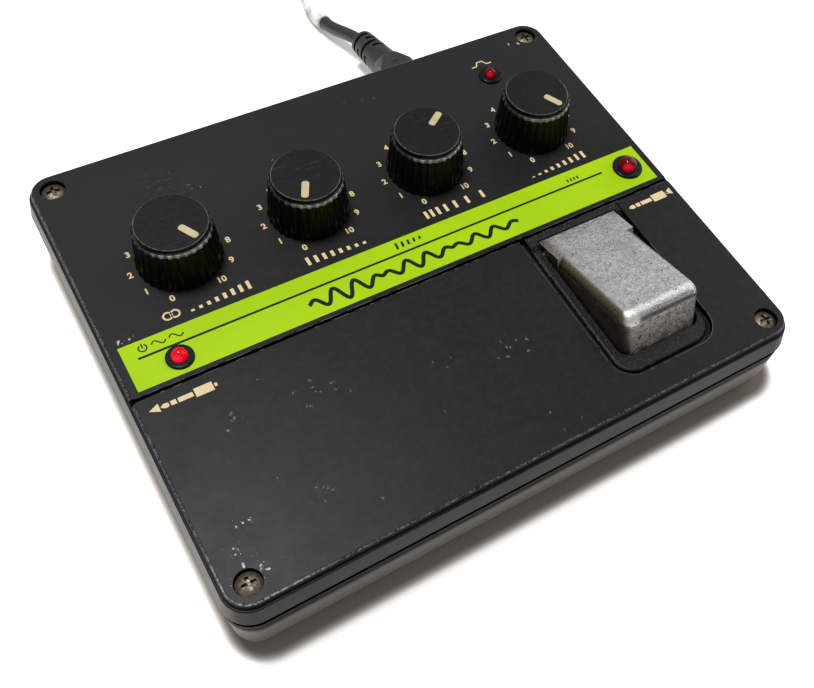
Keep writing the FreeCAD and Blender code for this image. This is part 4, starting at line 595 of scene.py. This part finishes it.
# Plain pieces: colour, roughness, and what differs from plain_finish's own values
PLAIN = {
    "steel_screw": ((0.45, 0.45, 0.44), 0.35, {"Metallic": 1.0, "size": 0.5}),
    "foot_rubber": ((0.025, 0.025, 0.026), 0.8, {"size": 0.5, "depth": 0.04}),
    "steel_pin": ((0.5, 0.5, 0.5), 0.25, {"Metallic": 1.0, "size": 0.3}),
    "spring_steel": ((0.45, 0.45, 0.46), 0.3, {"Metallic": 1.0, "size": 0.3}),
    "steel_sheet": ((0.5, 0.5, 0.47), 0.35, {"Metallic": 1.0, "size": 1.5}),
    "switch_shell": ((0.03, 0.03, 0.035), 0.5, {"size": 0.6}),
    "switch_button": ((0.5, 0.03, 0.02), 0.4, {"size": 0.8}),
    "plated_nut": ((0.55, 0.55, 0.53), 0.28, {"Metallic": 1.0, "size": 0.6}),
    "pointer_plastic": ((0.31, 0.26, 0.14), 0.45, {"size": 0.6, "spread": 0.12}),
    "shaft_alloy": ((0.6, 0.6, 0.59), 0.3, {"Metallic": 1.0, "size": 0.5}),
    "lamp_bezel": ((0.004, 0.004, 0.004), 0.25, {"size": 0.7, "depth": 0.006, "Specular_IOR_Level": 0.12}),
    "brass_post": ((0.6, 0.46, 0.2), 0.3, {"Metallic": 1.0, "size": 0.6}),
    "brass_pin": ((0.62, 0.48, 0.22), 0.25, {"Metallic": 1.0, "size": 0.6}),
    "circuit_board": ((0.03, 0.13, 0.05), 0.35, {"size": 1.2, "depth": 0.03}),
    "chip_resin": ((0.02, 0.02, 0.02), 0.5, {"size": 0.5}),
    "capacitor_sleeve": ((0.02, 0.04, 0.16), 0.25, {"size": 1.0}),
    "trimmer_plastic": ((0.03, 0.1, 0.35), 0.4, {"size": 0.8}),
    "winding_tape": ((0.7, 0.5, 0.08), 0.35, {"size": 1.5, "depth": 0.05}),
    "jack_plastic": ((0.012, 0.012, 0.012), 0.4, {"size": 0.8}),
    "cord_rubber": ((0.012, 0.012, 0.0125), 0.34, {"size": 0.7, "depth": 0.02}),
    "label_paper": ((0.56, 0.56, 0.555), 0.7, {"size": 0.8, "depth": 0.3, "spread": 0.4}),
    "moulded_plug": ((0.013, 0.013, 0.013), 0.4, {"size": 0.5, "depth": 0.03, "Specular_IOR_Level": 0.35}),
    "tie_plastic": ((0.02, 0.02, 0.02), 0.4, {"size": 0.8}),
}
for slot_name, (tint, gloss, extra) in PLAIN.items():
    FINISHES[slot_name] = plain_finish(slot_name, tint, gloss, **extra)


def dress_nodes():
    """Give every carried-over node the finish of its material slot."""
    slot_of = {part["node"]: part["material_slot"] for part in frame["record"]["subparts"]}
    for name, piece in nodes.items():
        piece.data.materials.clear()
        piece.data.materials.append(FINISHES[slot_of[name]])


# Mains cord: points of its route in millimetres, the lead, the put-away coil, then the plug

LEAD = [(41.6, 116.4, 9.2), (39.3, 124.2, 7.8), (36.6, 132.5, 4.9), (34.8, 143.5, 3.4), (36.6, 154.5, 3.4),
        (39.6, 165.4, 3.4), (40.9, 176.5, 3.4), (41.2, 184.6, 3.4), (41.2, 192.0, 3.4)]
COIL_START = Vector((41.2, 197.0, 3.4))
COIL_INNER = 19.8
COIL_PITCH = 5.5
LAYER_TURNS = 3.75
COIL_OUTER = COIL_INNER + COIL_PITCH * LAYER_TURNS
POINTS_PER_TURN = 16
CLIMB_TURNS = 0.5
TAIL = [(122.05, 192.0, 8.9), (122.05, 185.0, 8.9), (121.75, 176.0, 7.0), (121.75, 169.0, 7.0)]
CORD_DIAMETER = 5.0
LABEL_START_Y, LABEL_END_Y = 136.5, 171.0
LABEL_DIAMETER = 6.3
LABEL_SLACK = 0.1
CREASE_DEPTH, RIPPLE_DEPTH = 0.07, 0.05
CREASE_SEED = 4
TUBE_STEPS = 6


def coil_points():
    """Two layers of turns that shrink, climb one layer, and grow again."""
    centre = COIL_START + Vector((COIL_OUTER, 0, 0))
    points = []
    for step in range(int(2 * LAYER_TURNS * POINTS_PER_TURN) + 1):
        turn = step / POINTS_PER_TURN
        radius = COIL_INNER + COIL_PITCH * abs(turn - LAYER_TURNS)
        climbed = min(1.0, max(0.0, (turn - LAYER_TURNS) / CLIMB_TURNS + 0.5))
        rise = COIL_PITCH * (1 - math.cos(math.pi * climbed)) / 2
        angle = math.pi - 2 * math.pi * turn
        points.append(centre + Vector((math.cos(angle) * radius, math.sin(angle) * radius, rise)))
    return points


def nurbs(name, points, bevel):
    """A curve of one smooth spline through control points in millimetres."""
    curve = bpy.data.curves.new(name, "CURVE")
    curve.dimensions = "3D"
    curve.bevel_depth = bevel * MM
    curve.bevel_resolution = TUBE_STEPS
    curve.resolution_u = TUBE_STEPS
    curve.use_fill_caps = True
    spline = curve.splines.new("NURBS")
    spline.points.add(len(points) - 1)
    for point, place in zip(spline.points, points):
        point.co = (*(Vector(place) * MM), 1)
    spline.order_u = 3
    spline.use_endpoint_u = True
    return link(bpy.data.objects.new(name, curve))


def evaluated_mesh(piece):
    """The mesh that a curve or a text makes; the piece itself is removed."""
    bpy.context.view_layer.update()
    mesh = bpy.data.meshes.new_from_object(piece.evaluated_get(bpy.context.evaluated_depsgraph_get()))
    bpy.data.objects.remove(piece)
    return mesh


def ring_round(place, side_way, other, radii, number, sides):
    """Points round a place, at a radius that may differ with the angle."""
    points = []
    for side in range(sides):
        angle = 2 * math.pi * side / sides
        spoke = side_way * math.cos(angle) + other * math.sin(angle)
        points.append(place + spoke * radii(number, angle))
    return points


def tube_mesh(name, line, radii, sides=24):
    """A tube of changing radius along a line of points, with capped ends."""
    mesh = bmesh.new()
    rings = []
    side_way = Vector((1, 0, 0))
    for number, place in enumerate(line):
        before, after = line[max(number - 1, 0)], line[min(number + 1, len(line) - 1)]
        along = (after - before).normalized()
        side_way = (side_way - along * side_way.dot(along)).normalized()
        ring = ring_round(place, side_way, along.cross(side_way), radii, number, sides)
        rings.append([mesh.verts.new(point) for point in ring])
    for low, high in zip(rings, rings[1:]):
        for side in range(sides):
            after = (side + 1) % sides
            mesh.faces.new((low[side], low[after], high[after], high[side]))
    mesh.faces.new(rings[0][::-1])
    mesh.faces.new(rings[-1])
    data = bpy.data.meshes.new(name)
    mesh.to_mesh(data)
    mesh.free()
    for face in data.polygons:
        face.use_smooth = len(face.vertices) == 4
    return link(bpy.data.objects.new(name, data))


def finish_piece(piece, body, slot_name, *replaced):
    """Paint a piece, let it ride on a body, and hide the parts that it stands for."""
    piece.data.materials.append(FINISHES[slot_name])
    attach(piece, body)
    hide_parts(*replaced)
    return piece


def make_label():
    """Crumpled paper round the part of the lead that the label covers."""
    line = [vertex.co.copy() for vertex in evaluated_mesh(nurbs("guide", LEAD, 0.0)).vertices]
    wrapped = [point for point in line if LABEL_START_Y * MM <= point.y <= LABEL_END_Y * MM]
    draws = random.Random(CREASE_SEED)
    creases = [draws.uniform(-CREASE_DEPTH, CREASE_DEPTH) for _ in wrapped]

    def paper(number, angle):
        crease = creases[number] * math.cos(2 * angle + number)
        ripple = RIPPLE_DEPTH * math.cos(5 * angle + 0.7 * number)
        return (LABEL_DIAMETER / 2 - LABEL_SLACK + crease + ripple) * MM

    return finish_piece(tube_mesh("cord_paper", wrapped, paper), "case", "label_paper", "cord_label")


def make_cord():
    route = LEAD + coil_points() + TAIL
    cord = finish_piece(nurbs("mains_lead", route, CORD_DIAMETER / 2), "case", "cord_rubber",
                        "power_cord", "cord_coil", "cord_tail")
    label = make_label()


# Return spring under the treadle: the same wire as its solid

SPRING_X, SPRING_Y = 52.65, -34.0
SPRING_SEAT, SPRING_LOW, SPRING_HIGH = 17.5, 18.0, 29.5
SPRING_RADIUS, SPRING_WIRE, SPRING_TURNS = 3.4, 0.45, 6.5
STEPS_PER_TURN = 24
WIRE_SIDES = 12


def make_spring():
    steps = int(SPRING_TURNS * STEPS_PER_TURN)
    line = []
    for step in range(steps + 1):
        angle = 2 * math.pi * step / STEPS_PER_TURN
        x = SPRING_X + SPRING_RADIUS * math.cos(angle)
        y = SPRING_Y + SPRING_RADIUS * math.sin(angle)
        height = SPRING_LOW + (SPRING_HIGH - SPRING_LOW) * step / steps
        line.append(Vector(metres(x, y, height)))
    wire = tube_mesh("return_spring", line, lambda number, angle: SPRING_WIRE * MM, WIRE_SIDES)
    spring = finish_piece(wire, "case", "spring_steel", "treadle_spring")
    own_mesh(spring)


# Printing on the top plate, in millimetres

BAND_LIFT, INK_LIFT, RUB_LIFT = 0.015, 0.03, 0.02
FONT_HEIGHT_SHARE = 0.72
FONT_BOLDNESS = 0.035
ARC_STEP = 12


def paint_layer(name, mesh, material):
    """A thin layer on the case's paint, made from a mesh that is used up."""
    data = bpy.data.meshes.new(name)
    mesh.to_mesh(data)
    mesh.free()
    data.materials.append(material)
    piece = link(bpy.data.objects.new(name, data))
    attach(piece, "case")


class Print:
    """Flat ink shapes on the top plate, drawn in millimetres."""

    def __init__(self, lift):
        self.mesh = bmesh.new()
        self.z = (PLATE_Z + lift) * MM

    def face(self, points):
        corners = [self.mesh.verts.new((x * MM, y * MM, self.z)) for x, y in points]
        self.mesh.faces.new(corners)

    def bar(self, x, y, width, height, lean=0.0):
        """A block centred at a place; lean shifts its top sideways."""
        half, up = width / 2, height / 2
        self.face([(x - half - lean, y - up), (x + half - lean, y - up),
                   (x + half + lean, y + up), (x - half + lean, y + up)])

    def standing_bars(self, x, pitch, foot, width, heights):
        """Blocks side by side that stand on one line."""
        for step, height in enumerate(heights):
            self.bar(x + pitch * step, foot + height / 2, width, height)

    def stroke(self, points, width):
        """A line of even width through points."""
        sides = []
        for number, (x, y) in enumerate(points):
            before, after = points[max(number - 1, 0)], points[min(number + 1, len(points) - 1)]
            along = Vector((after[0] - before[0], after[1] - before[1])).normalized()
            across = Vector((-along.y, along.x)) * width / 2
            sides.append(((x + across.x, y + across.y), (x - across.x, y - across.y)))
        for (left, right), (next_left, next_right) in zip(sides, sides[1:]):
            self.face([left, right, next_right, next_left])

    def arc(self, x, y, radius, width, start=0, end=360):
        count = int(abs(end - start) / ARC_STEP)
        angles = [math.radians(start + (end - start) * step / count) for step in range(count + 1)]
        points = [(x + radius * math.cos(angle), y + radius * math.sin(angle)) for angle in angles]
        self.stroke(points, width)

    def digits(self, text, x, y, height):
        curve = bpy.data.curves.new("digits", "FONT")
        curve.body = text
        curve.size = height / FONT_HEIGHT_SHARE
        curve.offset = FONT_BOLDNESS * curve.size
        curve.align_x = "CENTER"
        curve.align_y = "CENTER"
        flat = evaluated_mesh(link(bpy.data.objects.new("digits", curve)))
        flat.transform(Matrix.Translation((x * MM, y * MM, self.z)) @ Matrix.Scale(MM, 4))
        self.mesh.from_mesh(flat)
        bpy.data.meshes.remove(flat)

    def piece(self, name, material):
        bmesh.ops.recalc_face_normals(self.mesh, faces=self.mesh.faces)
        for face in self.mesh.faces:
            if face.normal.z < 0:
                face.normal_flip()
        paint_layer(name, self.mesh, material)


# The band: its line, the power sign with short waves, bars that fade, small bars, and the echo wave

BAND_LEFT, BAND_RIGHT, BAND_LOW, BAND_HIGH = -89.5, 89.7, -7.8, 8.0
LINE_LEFT, LINE_RIGHT, LINE_Y, LINE_WIDTH = -85.7, 73.3, 2.3, 0.75
POWER_X, POWER_Y, POWER_RADIUS = -83.4, 5.2, 1.15
POWER_ARC = (120, 420)
STEM_LOW, STEM_HIGH = 5.1, 6.8
FINE_WIDTH = 0.42
WAVE_STARTS = (-80.9, -75.8)
WAVE_STEP, WAVE_STEPS, WAVE_HEIGHT = 0.35, 12, 0.85
FADING_X, FADING_Y, FADING_PITCH, FADING_COUNT = -3.2, 5.3, 2.0, 5
FADING_WIDTH, FADING_HEIGHT, FADING_LOSS, FADING_LEAN = 0.75, 2.5, 0.34, 0.12
SMALL_X, SMALL_Y, SMALL_PITCH, SMALL_COUNT = 60.6, 4.3, 1.3, 4
SMALL_WIDTH, SMALL_HEIGHT = 0.6, 1.3
ECHO_START, ECHO_END = -36.6, 36.6
ECHO_MIDDLE, ECHO_HEIGHT, ECHO_WIDTH = -2.75, 2.75, 1.3
ECHO_FADES = (1.0, 0.78, 0.58)
ECHO_CYCLES = 3.5
ECHO_FULLNESS = 0.6
ECHO_STEPS = 420


def print_band():
    band = Print(BAND_LIFT)
    band.bar((BAND_LEFT + BAND_RIGHT) / 2, (BAND_LOW + BAND_HIGH) / 2,
             BAND_RIGHT - BAND_LEFT, BAND_HIGH - BAND_LOW)
    band.piece("printed_band", band_ink("band_ink"))
    marks = Print(INK_LIFT)
    marks.stroke([(LINE_LEFT, LINE_Y), (LINE_RIGHT, LINE_Y)], LINE_WIDTH)
    print_power(marks)
    for step in range(FADING_COUNT):
        height = FADING_HEIGHT - FADING_LOSS * step
        marks.bar(FADING_X + FADING_PITCH * step, FADING_Y, FADING_WIDTH, height, FADING_LEAN)
    for step in range(SMALL_COUNT):
        marks.bar(SMALL_X + SMALL_PITCH * step, SMALL_Y, SMALL_WIDTH, SMALL_HEIGHT)
    print_echo(marks)
    marks.piece("printed_black_marks", printed_ink("black_ink", BLACK_INK, BLACK_INK_WORN))


def print_power(marks):
    """An open ring with a stem, then two short waves."""
    marks.arc(POWER_X, POWER_Y, POWER_RADIUS, FINE_WIDTH, *POWER_ARC)
    marks.stroke([(POWER_X, STEM_LOW), (POWER_X, STEM_HIGH)], FINE_WIDTH)
    turns = [2 * math.pi * step / WAVE_STEPS for step in range(WAVE_STEPS + 1)]
    for start in WAVE_STARTS:
        wave = [(start + WAVE_STEP * step, POWER_Y + WAVE_HEIGHT * math.sin(turn))
                for step, turn in enumerate(turns)]
        marks.stroke(wave, FINE_WIDTH)


def print_echo(marks):
    """A wave that comes back three times, each time fainter."""
    bursts = len(ECHO_FADES)
    points = []
    for step in range(ECHO_STEPS + 1):
        share = step / ECHO_STEPS
        burst = min(bursts - 1, int(share * bursts))
        local = share * bursts - burst
        swell = math.sin(math.pi * local) ** ECHO_FULLNESS
        wave = math.sin(2 * math.pi * ECHO_CYCLES * local)
        points.append((ECHO_START + (ECHO_END - ECHO_START) * share,
                       ECHO_MIDDLE + ECHO_HEIGHT * ECHO_FADES[burst] * swell * wave))
    marks.stroke(points, ECHO_WIDTH)


# Numbers round the dials, and plain signs where a maker prints words

DIAL_PLACES = [-62.43, -20.81, 20.81, 62.43]
DIAL_Y = 30.4
DIGIT_RADIUS = 14.97
DIGIT_HEIGHT = 2.1
DIGIT_START, DIGIT_TURN, DIGIT_COUNT = -120, 30, 11
LEGEND_Y = 12.2
LEGEND_HEIGHT = 3.1
LEGEND_BAR = 1.05
RING_PLACES = (-73.4, -71.2)
RING_RADIUS, RING_WIDTH = 1.25, 0.55
MIX_BARS = [(step + 2) / 9 for step in range(8)]
REPEAT_BARS = [1 - 0.1 * step for step in range(8)]
LEVEL_BARS = [(step + 1) / 9 for step in range(9)]
# Rows of bars: where a row starts, how far apart its bars are, and their shares of the full height
LEGEND_ROWS = [(-66.4, 2.5, MIX_BARS), (-29.7, 2.62, REPEAT_BARS), (51.2, 2.6, LEVEL_BARS)]
SPACED_X = 11.2
SPACED_GAPS = [0, 2.0, 4.3, 7.1, 10.6, 15.0, 20.6]
PEAK_SIGN = [(59.0, 64.5), (60.8, 64.5), (61.9, 66.3), (63.9, 66.3), (65.0, 64.5), (66.9, 64.5)]
PEAK_WIDTH = 0.5
ARROW_TIPS = (-89.3, 87.4)
ARROW_LENGTH, ARROW_HALF = 2.9, 1.4
PLUG_PLACES = (-78.2, 80.6)
PLUG_Y, ARROW_Y = -15.0, -14.85


def print_digits(cream):
    for x in DIAL_PLACES:
        for digit in range(DIGIT_COUNT):
            angle = math.radians(DIGIT_START - DIGIT_TURN * digit)
            cream.digits(str(digit), x + DIGIT_RADIUS * math.cos(angle),
                         DIAL_Y + DIGIT_RADIUS * math.sin(angle), DIGIT_HEIGHT)


def print_legends():
    """All cream printing: numbers, rings, rows of bars, the peak lamp's bent line, arrows and plugs."""
    cream = Print(INK_LIFT)
    print_digits(cream)
    for x in RING_PLACES:
        cream.arc(x, LEGEND_Y, RING_RADIUS, RING_WIDTH)
    for x, pitch, shares in LEGEND_ROWS:
        heights = [LEGEND_HEIGHT * share for share in shares]
        cream.standing_bars(x, pitch, LEGEND_Y - LEGEND_HEIGHT / 2, LEGEND_BAR, heights)
    for gap in SPACED_GAPS:
        cream.bar(SPACED_X + gap, LEGEND_Y, LEGEND_BAR, LEGEND_HEIGHT)
    cream.stroke(PEAK_SIGN, PEAK_WIDTH)
    for tip in ARROW_TIPS:
        back = tip + ARROW_LENGTH
        cream.face([(tip, ARROW_Y), (back, ARROW_Y - ARROW_HALF), (back, ARROW_Y + ARROW_HALF)])
    for x in PLUG_PLACES:
        print_plug(cream, x)
    cream.piece("printed_legends", printed_ink("cream_ink", CREAM_INK, CREAM_INK_WORN))


# A plug sign from its middle: where each block is, how wide and how high, and the outline of its tip

PLUG_BLOCKS = [(-4.3, 1.6, 1.5), (-0.9, 4.2, 1.5), (4.3, 5.2, 2.9), (7.7, 0.8, 1.1)]
PLUG_TIP = [(-8.0, 0), (-7.0, -0.75), (-6.0, -0.75), (-5.6, -0.45),
            (-5.6, 0.45), (-6.0, 0.75), (-7.0, 0.75)]


def print_plug(cream, x):
    """A jack plug seen from the side: tip, ring, sleeve, grip and the cord's end."""
    cream.face([(x + along, PLUG_Y + across) for along, across in PLUG_TIP])
    for along, width, height in PLUG_BLOCKS:
        cream.bar(x + along, PLUG_Y, width, height)


# Case screws stand nearer the top plate than their solids, which are set deep for clearance

SCREW_SEAT_Z = 27.8
SEAT_MARGIN = 0.1
SCREW_RISE = 1.1


def raise_screws():
    data = nodes["case_screws"].data.copy()
    for vertex in data.vertices:
        if vertex.co.z > (SCREW_SEAT_Z + SEAT_MARGIN) * MM:
            vertex.co.z += SCREW_RISE * MM
    piece = link(bpy.data.objects.new("case_screw_heads", data))
    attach(piece, "case")
    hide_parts("case_screws")


# Chips in the paint gather at a few places: x, y, how far they spread, how many, and how long they are

BRIGHT_PLACES = [
    (-81.6, -70.2, 0.9, 5, 2.2), (-84.4, -67.5, 0.5, 2, 2.4), (-79.0, -56.1, 0.1, 1, 1.2),
    (-80.9, -56.2, 0.1, 1, 1.3), (-82.7, -56.3, 0.1, 1, 1.4), (-84.8, -62.5, 1.2, 3, 1.1),
    (-88.9, -72.2, 0.1, 1, 1.1), (77.8, 69.8, 0.1, 1, 2.2), (81.3, 68.7, 0.1, 1, 2.0),
    (-88.6, 9.9, 0.1, 1, 2.2), (-85.6, 9.8, 0.1, 1, 1.4), (60.9, 56.6, 0.1, 1, 1.0),
]
DULL_PLACES = [
    (-71.5, -28.0, 1.6, 4, 1.8), (-48.0, -28.0, 2.6, 9, 1.6), (-59.5, -19.5, 0.5, 1, 1.3),
    (-39.0, -32.0, 2.8, 3, 1.2), (-59.5, -58.8, 1.6, 5, 1.4), (-46.4, -67.1, 0.3, 1, 1.5),
    (-67.8, -48.5, 0.3, 1, 1.1), (5.0, -70.0, 4.0, 3, 1.4), (10.5, -43.0, 3.6, 8, 1.6),
    (-9.5, -38.0, 3.0, 3, 1.1), (-19.0, -52.0, 0.5, 1, 0.9), (13.0, 64.0, 3.5, 3, 1.1),
    (-56.0, 57.0, 5.0, 4, 1.6), (-21.6, 53.7, 0.5, 1, 1.8),
]
BRIGHT_TINT, DULL_TINT = (0.3, 0.295, 0.28), (0.045, 0.0445, 0.0435)
BRIGHT_SEED, DULL_SEED = 3, 5
CHIP_CORNERS = 14
CHIP_EDGE, CHIP_LONG, CHIP_WIDE = (0.4, 1.05), (0.6, 1.0), (0.3, 0.55)
SPECK_SIZE = (0.12, 0.3)
CHIP_LIFT = 0.02
SPECKS_PER_CHIP = 3
RAY_START_Z, LOWEST_CHIP_Z = PLATE_Z + 5, PLATE_Z - 3


class Chips:
    """Irregular bare spots laid on the upper case's surface."""

    def __init__(self, seed):
        graph = bpy.context.evaluated_depsgraph_get()
        self.tree = BVHTree.FromObject(nodes["upper_case"], graph)
        self.draws = random.Random(seed)
        self.mesh = bmesh.new()

    def spot(self, x, y, long, wide, turn):
        """One spot, left out where it would hang over an edge."""
        corners = []
        for step in range(CHIP_CORNERS):
            angle = 2 * math.pi * step / CHIP_CORNERS
            ray = self.draws.uniform(*CHIP_EDGE) / 2
            out = Vector((ray * long * math.cos(angle), ray * wide * math.sin(angle)))
            out.rotate(Matrix.Rotation(math.radians(turn), 2))
            start = Vector((x + out.x, y + out.y, RAY_START_Z)) * MM
            place, normal, _, _ = self.tree.ray_cast(start, Vector((0, 0, -1)))
            if place is None or place.z < LOWEST_CHIP_Z * MM:
                return
            corners.append(place + normal * CHIP_LIFT * MM)
        self.mesh.faces.new([self.mesh.verts.new(corner) for corner in corners])

    def chip(self, x, y, length):
        """One chip and the specks round it."""
        long = length * self.draws.uniform(*CHIP_LONG)
        wide = length * self.draws.uniform(*CHIP_WIDE)
        self.spot(x, y, long, wide, self.draws.uniform(0, 180))
        for _ in range(SPECKS_PER_CHIP):
            size = self.draws.uniform(*SPECK_SIZE)
            self.spot(self.draws.gauss(x, length), self.draws.gauss(y, length), size, size, 0)

    def gather(self, x, y, spread, count, length):
        """Chips scattered round a place."""
        for _ in range(count):
            self.chip(self.draws.gauss(x, spread), self.draws.gauss(y, spread), length)


def chip_paint():
    for name, seed, places, tint in (("bright_chips", BRIGHT_SEED, BRIGHT_PLACES, BRIGHT_TINT),
                                     ("dull_chips", DULL_SEED, DULL_PLACES, DULL_TINT)):
        chips = Chips(seed)
        for place in places:
            chips.gather(*place)
        metal = plain_finish(name, tint, 0.5, size=0.35, depth=0.03, spread=0.6, Specular_IOR_Level=0.3)
        paint_layer(name, chips.mesh, metal)


# Thin lines along the edges of the groove and of the treadle's opening, in millimetres: painted highlights
# on those edges, partly rubbing

GROOVE_REAR, GROOVE_FRONT = -9.3, -10.5
GROOVE_REACH = 90.4
WELL_LEFT, WELL_RIGHT, WELL_FRONT, WELL_CORNER = 32.0, 70.2, -69.3, 8.5
WELL_LEFT_REAR, WELL_RIGHT_REAR = -12.0, -30.0
OUTSIDE_WELL = 0.1
RUB_WIDTH = 0.14
RUB_WIDTH_SHARES = (0.6, 1.2)
RUB_SEED = 8
GROOVE_STEPS, LEFT_STEPS, FRONT_STEPS, RIGHT_STEPS = 150, 50, 24, 26
CORNER_STEPS = 9
REAR_SHARE, FRONT_SHARE, WELL_SHARE = 0.8, 0.7, 0.86
RUB_HIGHLIGHT_TINT = (0.05, 0.05, 0.048)


def corner_points(x, y, radius, start):
    """A quarter turn from a starting angle in degrees."""
    angles = [math.radians(start + 90 * step / CORNER_STEPS) for step in range(CORNER_STEPS + 1)]
    return [(x + radius * math.cos(angle), y + radius * math.sin(angle)) for angle in angles]


def steps_between(first, last, count):
    """Points at even steps from first to last."""
    shares = [step / count for step in range(count + 1)]
    return [tuple(start + (end - start) * share for start, end in zip(first, last)) for share in shares]


def rub_line(marks, draws, points, shown):
    """Dashes along a line; shown is the share of it that they cover."""
    dash = []
    for point in points:
        if draws.random() < shown:
            dash.append(point)
            continue
        if len(dash) > 1:
            marks.stroke(dash, RUB_WIDTH * draws.uniform(*RUB_WIDTH_SHARES))
        dash = []
    if len(dash) > 1:
        marks.stroke(dash, RUB_WIDTH)


def well_line():
    """Points down the left of the treadle's opening, round its front corners and up its right side."""
    radius = WELL_CORNER + OUTSIDE_WELL
    centre_y = WELL_FRONT + WELL_CORNER
    left = corner_points(WELL_LEFT + WELL_CORNER, centre_y, radius, 180)
    right = corner_points(WELL_RIGHT - WELL_CORNER, centre_y, radius, 270)
    line = steps_between((WELL_LEFT - OUTSIDE_WELL, WELL_LEFT_REAR), left[0], LEFT_STEPS) + left
    line += steps_between(left[-1], right[0], FRONT_STEPS) + right
    return line + steps_between(right[-1], (WELL_RIGHT + OUTSIDE_WELL, WELL_RIGHT_REAR), RIGHT_STEPS)


def rub_edges():
    marks = Print(RUB_LIFT)
    draws = random.Random(RUB_SEED)
    for y, shown in ((GROOVE_REAR, REAR_SHARE), (GROOVE_FRONT, FRONT_SHARE)):
        rub_line(marks, draws, steps_between((-GROOVE_REACH, y), (GROOVE_REACH, y), GROOVE_STEPS), shown)
    rub_line(marks, draws, well_line(), WELL_SHARE)
    # painted highlight with wear: pale dashes along the groove and the opening's edges
    rubbed = plain_finish("rubbed_highlight_edge", RUB_HIGHLIGHT_TINT, 0.45, size=0.8, spread=0.5, Specular_IOR_Level=0.3)
    marks.piece("rubbed_highlight_edges", rubbed)


make_camera()
dress_nodes()
make_cord()
make_spring()
make_stage()
print_band()
print_legends()
raise_screws()
rub_edges()
chip_paint()
